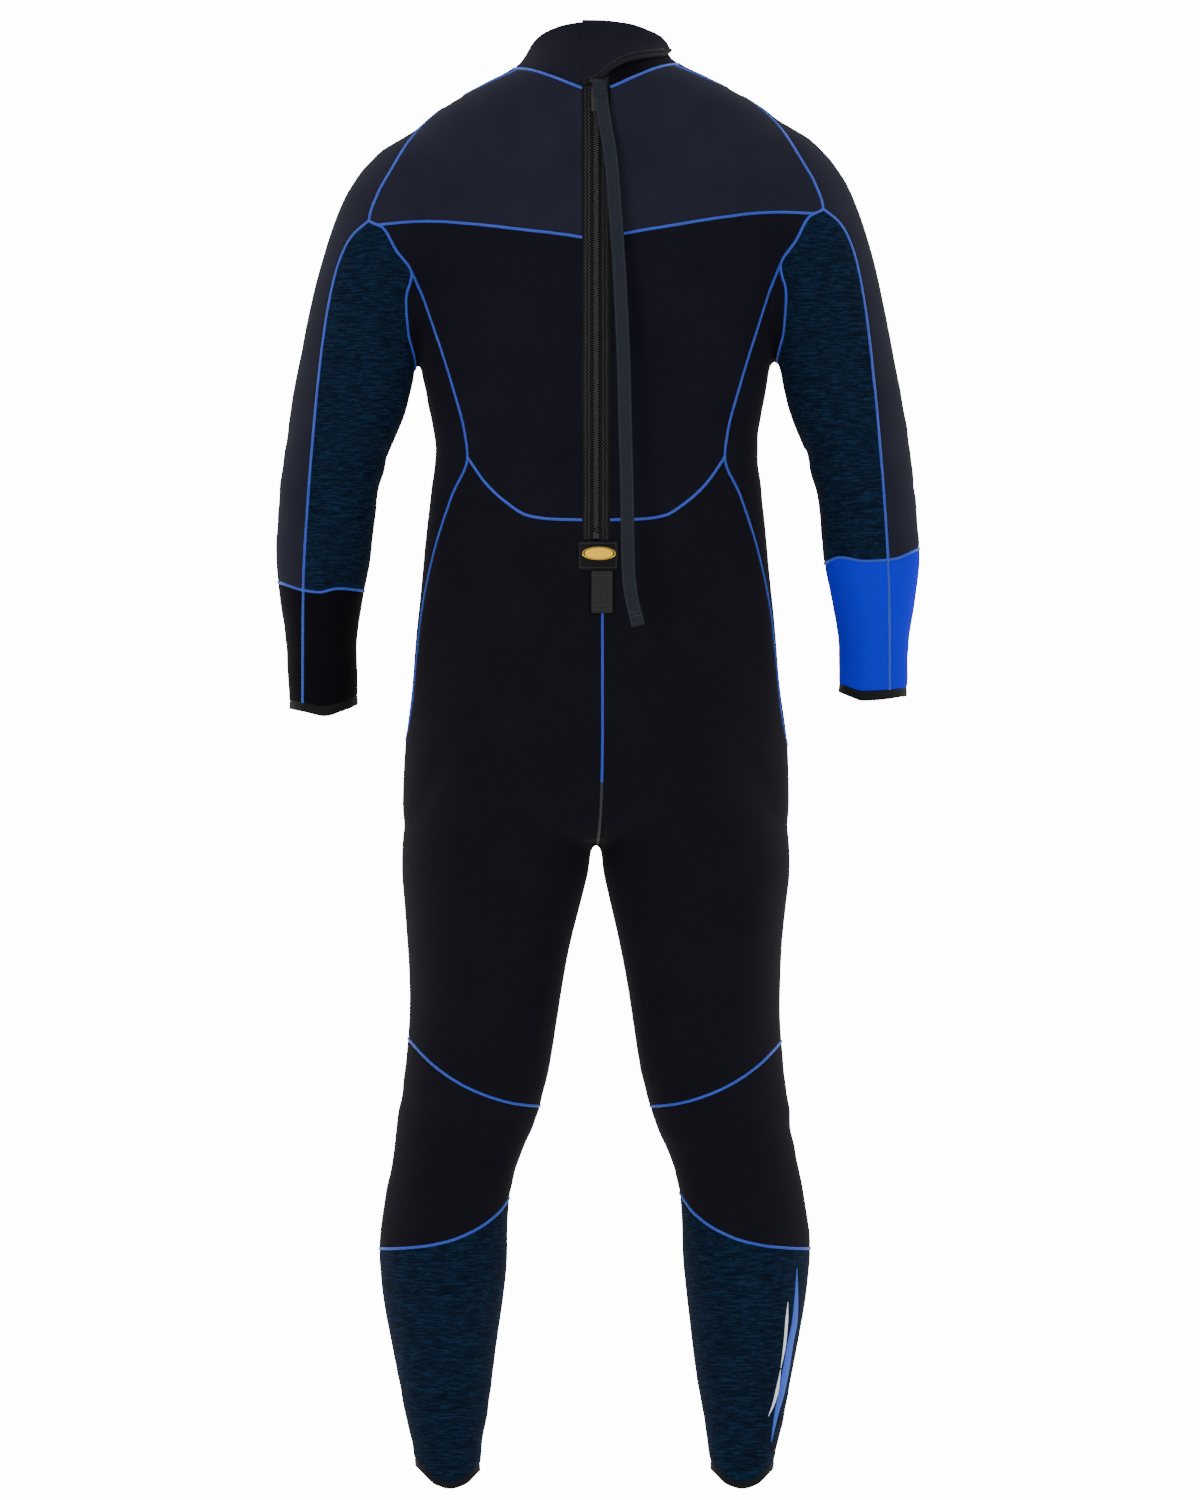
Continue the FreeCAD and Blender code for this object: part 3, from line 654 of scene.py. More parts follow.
def running_stitch(bm, points, length, gap, radius, finish=0):
    """Separate straight stitches with gaps between them."""
    run = evenly(points, (length + gap) * MM)
    for (a, normal), (b, _) in zip(run, run[1:]):
        end = a.lerp(b, length / (length + gap))
        middle = a.lerp(end, 0.5) + normal * radius * 0.5 * MM
        ribbon(bm, [(a - normal * 0.1 * MM, normal), (middle, normal),
                    (end - normal * 0.1 * MM, normal)],
               ((radius, 0), (0, radius), (-radius, 0)), finish)


# ---- finishes ------------------------------------------------------------------------------------
def linear(colour):
    return tuple(value / 12.92 if value <= 0.04045 else ((value + 0.055) / 1.055) ** 2.4
                 for value in colour) + (1.0,)


class Finish:
    """Nodes of one material, worked out in the cloth's own metres."""

    def __init__(self, name, roughness=0.8, sheen=0.0, coat=0.0, metallic=0.0, specular=0.5):
        self.material = bpy.data.materials.new(name)
        self.material.use_nodes = True
        self.tree = self.material.node_tree
        self.tree.nodes.clear()
        self.surface = self.node("ShaderNodeBsdfPrincipled")
        end = self.node("ShaderNodeOutputMaterial")
        self.join(self.surface.outputs["BSDF"], end.inputs["Surface"])
        self.where = self.node("ShaderNodeTexCoord").outputs["Object"]
        self.set("Roughness", roughness)
        self.set("Sheen Weight", sheen)
        self.set("Sheen Roughness", 0.45)
        self.set("Coat Weight", coat)
        self.set("Metallic", metallic)
        self.set("Specular IOR Level", specular)

    def node(self, kind, **settings):
        made = self.tree.nodes.new(kind)
        for key, value in settings.items():
            setattr(made, key, value)
        return made

    def join(self, output, socket):
        self.tree.links.new(output, socket)

    def set(self, socket, value):
        self.surface.inputs[socket].default_value = value

    def stretched(self, x, y, z):
        """The cloth's coordinates with cells of x, y, z millimetres."""
        mapping = self.node("ShaderNodeMapping")
        mapping.inputs["Scale"].default_value = (1 / (x * MM), 1 / (y * MM), 1 / (z * MM))
        self.join(self.where, mapping.inputs["Vector"])
        return mapping.outputs["Vector"]

    def grain(self, cell, detail=2.0, roughness=0.5):
        noise_node = self.node("ShaderNodeTexNoise")
        noise_node.inputs["Scale"].default_value = 1.0
        noise_node.inputs["Detail"].default_value = detail
        noise_node.inputs["Roughness"].default_value = roughness
        self.join(self.stretched(*cell), noise_node.inputs["Vector"])
        return noise_node.outputs["Fac"]

    def bands(self, cell, direction, distortion=0.0):
        wave = self.node("ShaderNodeTexWave", wave_type="BANDS", bands_direction=direction)
        wave.inputs["Scale"].default_value = 0.314
        wave.inputs["Distortion"].default_value = distortion
        self.join(self.stretched(*cell), wave.inputs["Vector"])
        return wave.outputs["Fac"]

    def maths(self, kind, first, second):
        made = self.node("ShaderNodeMath", operation=kind)
        for socket, value in zip(made.inputs, (first, second)):
            if isinstance(value, float):
                socket.default_value = value
            else:
                self.join(value, socket)
        return made.outputs["Value"]

    def ramp(self, value, stops):
        ramp = self.node("ShaderNodeValToRGB")
        while len(ramp.color_ramp.elements) < len(stops):
            ramp.color_ramp.elements.new(0.5)
        for element, (place, colour) in zip(ramp.color_ramp.elements, stops):
            element.position = place
            element.color = colour
        self.join(value, ramp.inputs["Fac"])
        return ramp.outputs["Color"]

    def colour(self, value, stops):
        self.join(self.ramp(value, stops), self.surface.inputs["Base Color"])

    def rough(self, value, low, high):
        reach = self.node("ShaderNodeMapRange")
        reach.inputs["To Min"].default_value = low
        reach.inputs["To Max"].default_value = high
        self.join(value, reach.inputs["Value"])
        self.join(reach.outputs["Result"], self.surface.inputs["Roughness"])

    def bump(self, height, depth, strength=1.0):
        bump = self.node("ShaderNodeBump")
        bump.inputs["Strength"].default_value = strength
        bump.inputs["Distance"].default_value = depth * MM
        self.join(height, bump.inputs["Height"])
        self.join(bump.outputs["Normal"], self.surface.inputs["Normal"])


def scaled(colour, factor):
    return tuple(min(1.0, value * factor) for value in colour[:3]) + (1.0,)


def knit_finish(name, colour, contrast=0.22, sheen=0.03):
    """Jersey laminated on foam: fine knit columns, a soft nap and a slightly cloudy dye."""
    finish = Finish(name, roughness=0.86, sheen=sheen, specular=0.05)
    cloud = finish.grain((60, 60, 60), detail=3.0)
    nap = finish.grain((1.1, 1.1, 1.1), detail=2.0, roughness=0.7)
    mixed = finish.maths("ADD", finish.maths("MULTIPLY", cloud, 0.35),
                         finish.maths("MULTIPLY", nap, 0.65))
    base = linear(colour)
    finish.colour(mixed, [(0.32, scaled(base, 1 - contrast)), (0.5, base),
                          (0.68, scaled(base, 1 + 1.6 * contrast))])
    columns = finish.bands((1.15, 1.15, 40), "X", 0.6)
    courses = finish.bands((40, 40, 0.9), "Z", 0.6)
    knit = finish.maths("MULTIPLY", columns, courses)
    height = finish.maths("ADD", finish.maths("MULTIPLY", knit, 0.5), nap)
    finish.rough(nap, 0.78, 0.95)
    finish.bump(height, 0.16, 0.8)
    return finish.material


def heather_finish(name, low, middle, high):
    """Two-tone yarn whose short streaks run round the limb."""
    finish = Finish(name, roughness=0.82, sheen=0.02, specular=0.05)
    streak = finish.grain((15, 15, 1.5), detail=3.5, roughness=0.68)
    fine = finish.grain((4.2, 4.2, 0.9), detail=2.0, roughness=0.6)
    mixed = finish.maths("ADD", finish.maths("MULTIPLY", streak, 0.72),
                         finish.maths("MULTIPLY", fine, 0.28))
    finish.colour(mixed, [(0.38, linear(low)), (0.48, linear(middle)), (0.62, linear(high))])
    finish.rough(fine, 0.74, 0.94)
    finish.bump(finish.maths("ADD", fine, finish.bands((40, 40, 0.9), "Z", 0.5)), 0.14, 0.8)
    return finish.material


def woven_finish(name, colour, warp, weft, contrast=0.3, gloss=0.6):
    """Plain weave of tape, webbing or binding."""
    finish = Finish(name, roughness=gloss, sheen=0.03, specular=0.12)
    over = finish.bands((warp, warp, 60), "X", 0.2)
    under = finish.bands((60, 60, weft), "Z", 0.2)
    weave = finish.maths("MULTIPLY", over, under)
    fuzz = finish.grain((0.8, 0.8, 0.8))
    base = linear(colour)
    finish.colour(finish.maths("ADD", finish.maths("MULTIPLY", weave, 0.6),
                               finish.maths("MULTIPLY", fuzz, 0.4)),
                  [(0.15, scaled(base, 1 - contrast)), (0.75, scaled(base, 1 + contrast))])
    finish.rough(fuzz, gloss - 0.08, gloss + 0.12)
    finish.bump(finish.maths("ADD", weave, finish.maths("MULTIPLY", fuzz, 0.4)), 0.22, 0.9)
    return finish.material


def moulded_finish(name, colour, roughness, metallic=0.0, scuff=0.25):
    """Moulded plastic or cast metal, rubbed a little lighter where it is handled."""
    finish = Finish(name, roughness=roughness, metallic=metallic)
    marks = finish.grain((2.5, 2.5, 9), detail=4.0, roughness=0.7)
    base = linear(colour)
    finish.colour(marks, [(0.4, base), (0.75, scaled(base, 1 + scuff))])
    finish.rough(marks, roughness - 0.1, roughness + 0.15)
    finish.bump(finish.grain((0.5, 0.5, 0.5)), 0.03, 0.5)
    return finish.material


def fuzzy_finish(name, colour):
    """Hook and loop tape: a coarse nap of loops in rows."""
    finish = Finish(name, roughness=0.9, sheen=0.4)
    loops = finish.node("ShaderNodeTexVoronoi")
    loops.inputs["Scale"].default_value = 1.0
    finish.join(finish.stretched(0.9, 0.9, 0.9), loops.inputs["Vector"])
    base = linear(colour)
    finish.colour(loops.outputs["Distance"], [(0.1, scaled(base, 1.35)), (0.8, scaled(base, 0.6))])
    finish.bump(loops.outputs["Distance"], 0.5, 1.0)
    return finish.material


def thread_finish(name, colour, contrast=0.25):
    finish = Finish(name, roughness=0.5, sheen=0.3)
    twist = finish.bands((0.5, 0.5, 0.5), "DIAGONAL", 1.0)
    base = linear(colour)
    finish.colour(twist, [(0.0, scaled(base, 1 - contrast)), (1.0, scaled(base, 1 + contrast))])
    finish.bump(twist, 0.08, 0.7)
    return finish.material


FINISHES = {}


def finish_of(name):
    """The named finish, made the first time that it is asked for."""
    if name not in FINISHES:
        cloth = bpy.context.scene.wetsuit_cloth
        makers = {
            "yoke": lambda: knit_finish("knit_yoke", cloth.yoke),
            "mid_back": lambda: knit_finish("knit_mid_back", cloth.mid_back),
            "seat": lambda: knit_finish("knit_seat", cloth.seat),
            "dark": lambda: knit_finish("knit_dark", cloth.dark),
            "collar": lambda: knit_finish("knit_collar", cloth.collar, 0.15),
            "blue": lambda: knit_finish("knit_blue", cloth.blue, 0.06),
            "heather": lambda: heather_finish("heather_teal", cloth.heather_low,
                                              cloth.heather_middle, cloth.heather_high),
            "binding": lambda: woven_finish("binding_tape", (0.055, 0.055, 0.065), 1.1, 1.3),
            "stitch": lambda: thread_finish("stitch_thread", cloth.thread),
            # darker blue under the raised thread, a painted shadow round the seam's zigzag
            "stitch_painted_shade": lambda: thread_finish("stitch_painted_shade", cloth.thread_painted_shade),
            "black_thread": lambda: thread_finish("black_thread", (0.07, 0.07, 0.09)),
            "tape_thread": lambda: thread_finish("tape_thread", (0.2, 0.2, 0.21)),
            "zip_cloth": lambda: woven_finish("zip_tape_weave", (0.058, 0.058, 0.066), 0.8, 0.9),
            # the teeth are painted lighter grey than their black moulding, a painted highlight
            # standing in for their glints
            "zip_teeth": lambda: moulded_finish("zip_teeth_glint_grey", (0.2, 0.2, 0.21), 0.35),
            "zip_plastic": lambda: moulded_finish("zip_moulding", (0.07, 0.07, 0.078), 0.45),
            "zip_metal": lambda: moulded_finish("zip_black_metal", (0.17, 0.17, 0.18), 0.34, 0.9),
            "webbing": lambda: woven_finish("pull_webbing", cloth.webbing, 1.6, 1.25, 0.35, 0.55),
            "hook_loop": lambda: fuzzy_finish("hook_and_loop", (0.11, 0.11, 0.115)),
            "keeper": lambda: woven_finish("keeper_tape", (0.17, 0.17, 0.175), 1.5, 1.1, 0.4, 0.7),
            "patch": lambda: woven_finish("label_weave", (0.06, 0.06, 0.07), 0.9, 0.9),
            "badge": lambda: moulded_finish("badge_yellow", (1.0, 0.76, 0.0), 0.5, 0.0, 0.1),
            "badge_edge": lambda: moulded_finish("badge_rim", (0.06, 0.05, 0.04), 0.5),
            "print_blue": lambda: moulded_finish("print_blue", (0.06, 0.27, 0.72), 0.55),
            "print_white": lambda: moulded_finish("print_white", (0.86, 0.88, 0.9), 0.5),
        }
        FINISHES[name] = makers[name]()
    return FINISHES[name]


def wear(piece, *finishes):
    """Give a piece its materials."""
    for name in finishes:
        piece.data.materials.append(finish_of(name))


def colour_property(name, description, red, green, blue):
    return bpy.props.FloatVectorProperty(
        name=name, description=description, subtype="COLOR_GAMMA", size=3, min=0, max=1,
        default=(red / 255, green / 255, blue / 255))


class WetsuitCloth(bpy.types.PropertyGroup):
    """Cloth thickness and colours."""
    fineness: bpy.props.FloatProperty(
        name="Surface Fineness", description="Edge length of the cloth's mesh",
        default=0.0036, min=0.002, max=0.012, unit="LENGTH")
    thickness: bpy.props.FloatProperty(
        name="Foam Thickness", description="Thickness of the laminated foam, in millimetres",
        default=5.0, min=2.0, max=7.0)
    yoke: colour_property("Yoke", "Shoulders and outer sleeves", 28, 29, 41)
    mid_back: colour_property("Back", "Panels beside the zip", 16, 15, 25)
    seat: colour_property("Seat", "Seat, thighs and knees", 15, 14, 22)
    dark: colour_property("Dark Knit", "Black forearm and collar underlap", 7, 6, 12)
    collar: colour_property("Collar", "Collar and its flap", 22, 21, 32)
    blue: colour_property("Blue Knit", "Blue forearm panel", 0, 4, 196)
    heather_low: colour_property("Heather Dark", "Darkest yarn of the heather", 3, 12, 24)
    heather_middle: colour_property("Heather Middle", "Body of the heather", 4, 17, 33)
    heather_high: colour_property("Heather Light", "Lightest yarn of the heather", 15, 38, 63)
    thread: colour_property("Thread", "Raised stitching thread", 0, 84, 208)
    # painted shade: this darker blue under the raised thread stands in for its shadow
    thread_painted_shade: colour_property("Thread Painted Shade", "Stitching below the raised thread", 0, 42, 158)
    webbing: colour_property("Pull Webbing", "Long pull of the zip", 26, 30, 41)


class WetsuitSeams(bpy.types.PropertyGroup):
    """Sizes of the flat seam stitching, in millimetres."""
    width: bpy.props.FloatProperty(name="Width", description="Width of the stitching",
                                   default=3.2, min=1.0, max=8.0)
    rise: bpy.props.FloatProperty(name="Rise", description="Height of the stitching's crown",
                                  default=0.65, min=0.1, max=2.0)
    step: bpy.props.FloatProperty(name="Step", description="Spacing of the zigzag's turns",
                                  default=1.5, min=0.8, max=5.0)
    thread: bpy.props.FloatProperty(name="Thread", description="Half width of a thread",
                                    default=0.42, min=0.1, max=1.0)


class WetsuitZip(bpy.types.PropertyGroup):
    """Sizes of the zip, in millimetres."""
    pitch: bpy.props.FloatProperty(name="Tooth Pitch", description="Spacing of the teeth",
                                   default=2.4, min=1.0, max=6.0)
    tooth: bpy.props.FloatProperty(name="Tooth Reach", description="How far a tooth reaches",
                                   default=3.0, min=1.0, max=6.0)
    webbing_width: bpy.props.FloatProperty(name="Pull Width", description="Width of the pull",
                                           default=0.014, min=0.005, max=0.04, unit="LENGTH")


class WetsuitStage(bpy.types.PropertyGroup):
    """Camera and light."""
    distance: bpy.props.FloatProperty(name="Distance", description="Camera to zip",
                                      default=14.0, min=1.0, max=40.0, unit="LENGTH")
    framed: bpy.props.FloatProperty(name="Framed Height", description="Height that is in view",
                                    default=1.545, min=0.2, max=4.0, unit="LENGTH")
    light: bpy.props.FloatProperty(name="Light", description="Brightness of the softboxes",
                                   default=1.0, min=0.0, max=10.0)


# ---- cloth panels --------------------------------------------------------------------------------
WORK = {}


def garment():
    """The cut surface, made once and shared by the operators."""
    if "garment" not in WORK:
        WORK["garment"] = Garment(bpy.context.scene.wetsuit_cloth.fineness)
        WORK["skin"] = BVHTree.FromBMesh(WORK["garment"].bm)
    return WORK["garment"]


def on_cloth(x, height, out=0.0, behind=True):
    """Point on the body's back (or front) at x and height, raised by out, and its normal."""
    garment()
    start = at(x, -400 if behind else 400, height)
    place, normal, _, _ = WORK["skin"].ray_cast(start, Vector((0, 1 if behind else -1, 0)))
    if place is None:
        raise RuntimeError(f"nothing to lie on at {x}, {height}")
    return place + normal * out * MM, normal


PANEL_FINISH = {
    "collar_band": "collar", "back_yoke": "yoke", "sleeve_outer": "yoke", "mid_back": "mid_back",
    "side_panel": "mid_back", "seat_panel": "seat", "front_thigh": "seat", "knee_back": "seat",
    "knee_pad": "seat", "chest_panel": "mid_back", "sleeve_inner": "heather", "calf": "heather",
    "wrist_binding": "binding", "ankle_binding": "binding",
    "forearm_outer_right": "blue", "forearm_inner_right": "blue",
    "forearm_outer_left": "dark", "forearm_inner_left": "dark",
}
ELBOW_PIECES = ("sleeve_outer", "sleeve_inner")
FOREARM_PIECES = ("forearm_outer", "forearm_inner", "wrist_binding")
KNEE_PIECES = ("seat_panel", "front_thigh", "knee_back", "knee_pad", "calf")


def place_of(side, corner):
    return at(side * corner[0], corner[1], corner[2])


def join_bodies(piece, name):
    """Attach a piece of cloth to the body under it; elbow, forearm and knee pieces are only baked
    in place.
    """
    kind, _, side_name = name.rpartition("_")
    if side_name not in ("left", "right"):
        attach(piece, "suit")
        return
    side = LEFT if side_name == "left" else RIGHT
    if kind in ELBOW_PIECES:
        start, end = (place_of(side, corner) for corner in ELBOW_BEND)
        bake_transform(piece)
        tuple(start)
        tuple(end)
    elif kind in FOREARM_PIECES:
        start, end = (place_of(side, corner) for corner in ELBOW_BEND)
        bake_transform(piece)
        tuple(start)
        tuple(end)
    elif kind in KNEE_PIECES:
        start, end = (place_of(side, corner) for corner in KNEE_BEND)
        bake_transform(piece)
        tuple(start)
        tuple(end)
    elif kind == "ankle_binding":
        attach(piece, "shin_" + side_name)
    else:
        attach(piece, "suit")


def flat_size(rows):
    """Width and length of a grid of points, along its middle row and column."""
    across = rows[len(rows) // 2]
    along = [row[len(row) // 2] for row in rows]
    return tuple(sum((b - a).length for a, b in zip(line, line[1:])) for line in (across, along))


# share of its rectangle that a cut fills, and its flat area against its outer face on the body:
# a panel's, and that of a binding folded round an edge
CUT_FILL, RELAXED, WRAPPED = 0.85, 0.97, 2.0


def cut_size(bm):
    """Area of a panel's outer face, and the height that it spans."""
    heights = [vert.co.z for vert in bm.verts]
    return sum(face.calc_area() for face in bm.faces), max(heights) - min(heights)


def declare_cut(size, bound=False):
    """Work out a panel's flat area from its outer face; the result is not kept."""
    area, length = size
    area *= WRAPPED if bound else RELAXED


def sew_panel(name):
    """One panel of laminated foam, from its outer face inwards."""
    kind = name.rpartition("_")[0] if name.rpartition("_")[2] in ("left", "right") else name
    finish = PANEL_FINISH.get(name) or PANEL_FINISH[kind]
    bm = garment().panel_mesh(name)
    size = cut_size(bm)
    piece = mesh_object(name + "_cloth", bm)
    bound = kind in ("wrist_binding", "ankle_binding")
    thicken(piece, bpy.context.scene.wetsuit_cloth.thickness + (0.6 if bound else 0.0))
    wear(piece, finish)
    join_bodies(piece, name)
    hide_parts(name)
    declare_cut(size, bound)
    return piece


def both(*kinds):
    return [kind + "_" + side_name for kind in kinds for _, side_name in SIDES]


class WETSUIT_OT_body_panels(bpy.types.Operator):
    """Sew the chest, yoke, back, side and seat panels"""
    bl_idname = "wetsuit.body_panels"
    bl_label = "Body Panels"

    def execute(self, context):
        for name in ["chest_panel"] + both("back_yoke", "mid_back", "side_panel", "seat_panel",
                                           "front_thigh"):
            sew_panel(name)
        return {"FINISHED"}


class WETSUIT_OT_sleeves(bpy.types.Operator):
    """Sew the sleeves, forearms and cuffs"""
    bl_idname = "wetsuit.sleeves"
    bl_label = "Sleeves"

    def execute(self, context):
        for name in both("sleeve_outer", "sleeve_inner", "forearm_outer", "forearm_inner",
                         "wrist_binding"):
            sew_panel(name)
        return {"FINISHED"}


class WETSUIT_OT_lower_legs(bpy.types.Operator):
    """Sew the knees, calves and ankle hems"""
    bl_idname = "wetsuit.lower_legs"
    bl_label = "Lower Legs"

    def execute(self, context):
        for name in both("knee_back", "knee_pad", "calf", "ankle_binding"):
            sew_panel(name)
        return {"FINISHED"}


class WETSUIT_OT_collar(bpy.types.Operator):
    """Sew the collar and the smooth underlap that the flap closes over"""
    bl_idname = "wetsuit.collar"
    bl_label = "Collar"

    def execute(self, context):
        sew_panel("collar_band")
        bm = garment().panel_mesh("collar_under")
        size = cut_size(bm)
        lap = mesh_object("collar_underlap", bm)
        thicken(lap, context.scene.wetsuit_cloth.thickness)
        wear(lap, "dark")
        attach(lap, "suit")
        declare_cut(size)
        return {"FINISHED"}


# ---- seam stitching ------------------------------------------------------------------------------
def runs_through(edges):
    """Runs of corners through edges, each ending where seams meet or closing on itself."""
    joined = {}
    for edge in edges:
        for vert in edge.verts:
            joined.setdefault(vert, []).append(edge)
    left = set(edges)
    ends = [vert for vert, around in joined.items() if len(around) != 2]
    for start in ends + list(joined):
        for edge in joined[start]:
            if edge not in left:
                continue
            run = [start]
            while edge is not None:
                left.discard(edge)
                run.append(edge.other_vert(run[-1]))
                onward = joined[run[-1]]
                edge = next((e for e in onward if e in left), None) if len(onward) == 2 else None
            yield run


def seam_group(names):
    """Which stitching piece a seam between two panels goes with."""
    kinds = {name.rpartition("_")[0] for name in names}
    sides = {name.rpartition("_")[2] for name in names}
    if len(sides) == 1 and kinds <= set(ELBOW_PIECES + FOREARM_PIECES):
        return "arm_" + sides.pop()
    if len(sides) == 1 and kinds <= set(KNEE_PIECES):
        return "leg_" + sides.pop()
    return "body"


# the seat's centre seam: blue thread above this height, none above the keeper
SEAT_BLUE, SEAT_SEAM_END = 727, 930


def is_blue(names, height):
    kinds = {name.rpartition("_")[0] for name in names}
    if kinds == {"seat_panel"}:
        return height > SEAT_BLUE
    dark = ({"knee_back", "knee_pad"}, {"front_thigh", "seat_panel"}, {"knee_pad", "seat_panel"},
            {"front_thigh", "side_panel"}, {"chest", "side_panel"}, {"front_thigh"})
    return kinds not in dark


def stitched(names, height):
    kinds = {name.rpartition("_")[0] for name in names}
    if kinds == {"seat_panel"} and height > SEAT_SEAM_END:
        return False
    return not kinds & {"wrist_binding", "ankle_binding"} and names != {"collar_band",
                                                                      "collar_under"}


def sew_seams(group):
    """Flat stitching along every seam of one group."""
    seams = bpy.context.scene.wetsuit_seams
    by_pair = {}
    for edge, names in garment().seam_edges():
        middle = measures((edge.verts[0].co + edge.verts[1].co) / 2)
        if stitched(names, middle[2]) and seam_group(names) == group:
            key = (tuple(sorted(names)), is_blue(names, middle[2]))
            by_pair.setdefault(key, []).append(edge)
    bm = bmesh.new()
    half = seams.width / 2
    profile = ((half, -0.5), (half * 0.72, seams.rise * 0.6), (0, seams.rise),
               (-half * 0.72, seams.rise * 0.6), (-half, -0.5))
    for (_, blue), edges in by_pair.items():
        for run in runs_through(edges):
            points = [(vert.co + vert.normal * 0.55 * MM, vert.normal) for vert in run]
            if len(points) < 3:
                continue
            points = eased(evenly(points, 2.2 * MM), 3)
            # under blue thread the ribbon wears the darker blue, a painted shadow round the raised
            # zigzag
            ribbon(bm, points, profile, 1 if blue else 2)
            zigzag(bm, points, half * 0.8, seams.step, seams.thread, seams.rise * 0.75,
                   0 if blue else 2)
    piece = mesh_object("stitching_" + group, bm)
    wear(piece, "stitch", "stitch_painted_shade", "black_thread")
    kind, _, side_name = group.rpartition("_")
    join_bodies(piece, {"arm": "sleeve_outer_", "leg": "calf_", "": ""}[kind] + side_name)
    return piece


class WETSUIT_OT_seams(bpy.types.Operator):
    """Stitch every seam between the panels"""
    bl_idname = "wetsuit.seams"
    bl_label = "Seam Stitching"

    def execute(self, context):
        for group in ["body"] + both("arm", "leg"):
            sew_seams(group)
        return {"FINISHED"}


# ---- zip -----------------------------------------------------------------------------------------
def zip_run(x, out, low, high, spacing=3.0):
    """Straight run beside the zip, with the back's normal."""
    normal = (on_back(0, 1, 1200) - on_back(0, 0, 1200)).normalized()
    steps = max(2, round((high - low) / spacing))
    return [(on_back(x, out, height), normal) for height in spread(low, high, steps)]


class WETSUIT_OT_zip(bpy.types.Operator):
    """Set the zip's teeth and stitch its tapes down"""
    bl_idname = "wetsuit.zip"
    bl_label = "Zip"

    def execute(self, context):
        sizes = context.scene.wetsuit_zip
        top = ZIP_TOP - 8
        for side, side_name in SIDES:
            bm = bmesh.new()
            made = bmesh.ops.create_cube(bm, size=1.0)
            bmesh.ops.scale(bm, vec=(sizes.tooth * MM, 2.2 * MM, sizes.pitch * 0.46 * MM),
                            verts=made["verts"])
            bmesh.ops.bevel(bm, geom=list(bm.edges), offset=0.28 * MM, segments=1,
                            affect="EDGES", profile=0.5)
            tooth = list(bm.verts) + list(bm.edges) + list(bm.faces)
            verts = list(bm.verts)
            homes = [vert.co.copy() for vert in verts]
            shift = 0.0 if side == LEFT else sizes.pitch / 2
            heights = []
            height = ZIP_BOTTOM + 9 + shift
            while height < top:
                heights.append(height)
                height += sizes.pitch
            lean = Matrix.Rotation(-math.atan(ZIP_TILT), 3, "X")
            for height in heights[1:]:
                copy = bmesh.ops.duplicate(bm, geom=tooth)
                new = [item for item in copy["geom"] if isinstance(item, bmesh.types.BMVert)]
                centre = on_back(side * 1.25, -1.7, height)
                for vert, home in zip(new, homes):
                    vert.co = centre + lean @ home
            centre = on_back(side * 1.25, -1.7, heights[0])
            for vert, home in zip(verts, homes):
                vert.co = centre + lean @ home
            teeth = mesh_object("zip_teeth_" + side_name + "_fine", bm, smooth=False)
            wear(teeth, "zip_teeth")
            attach(teeth, "suit")
            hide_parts("zip_teeth_" + side_name)
            bm = bmesh.new()
            for x, reach in ((7.2, 1.1), (10.8, 1.3)):
                run = zip_run(side * x, -1.75, ZIP_BOTTOM + 2, ZIP_TOP - 2)
                zigzag(bm, run, reach, 1.9, 0.35, 0.15)
            rows = mesh_object("zip_tape_stitching_" + side_name, bm)
            wear(rows, "tape_thread")
            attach(rows, "suit")
        return {"FINISHED"}


FRAME_FINISHES = {
    "zip_tape_left": "zip_cloth", "zip_tape_right": "zip_cloth", "zip_bottom_stop": "zip_plastic",
    "zip_top_stops": "zip_plastic", "zip_guard": "zip_cloth", "zip_slider": "zip_metal",
    "pull_pin": "zip_metal", "pull_tab": "zip_plastic",
}


class WETSUIT_OT_hardware(bpy.types.Operator):
    """Finish the zip's tapes, stops, guard, slider and pull"""
    bl_idname = "wetsuit.hardware"
    bl_label = "Zip Hardware"

    def execute(self, context):
        for node, finish in FRAME_FINISHES.items():
            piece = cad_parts[node]
            for slot in piece.material_slots:
                slot.link = "OBJECT"
                slot.material = finish_of(finish)
            if not piece.material_slots:
                raise RuntimeError(f"{node} has no material slot")
        return {"FINISHED"}


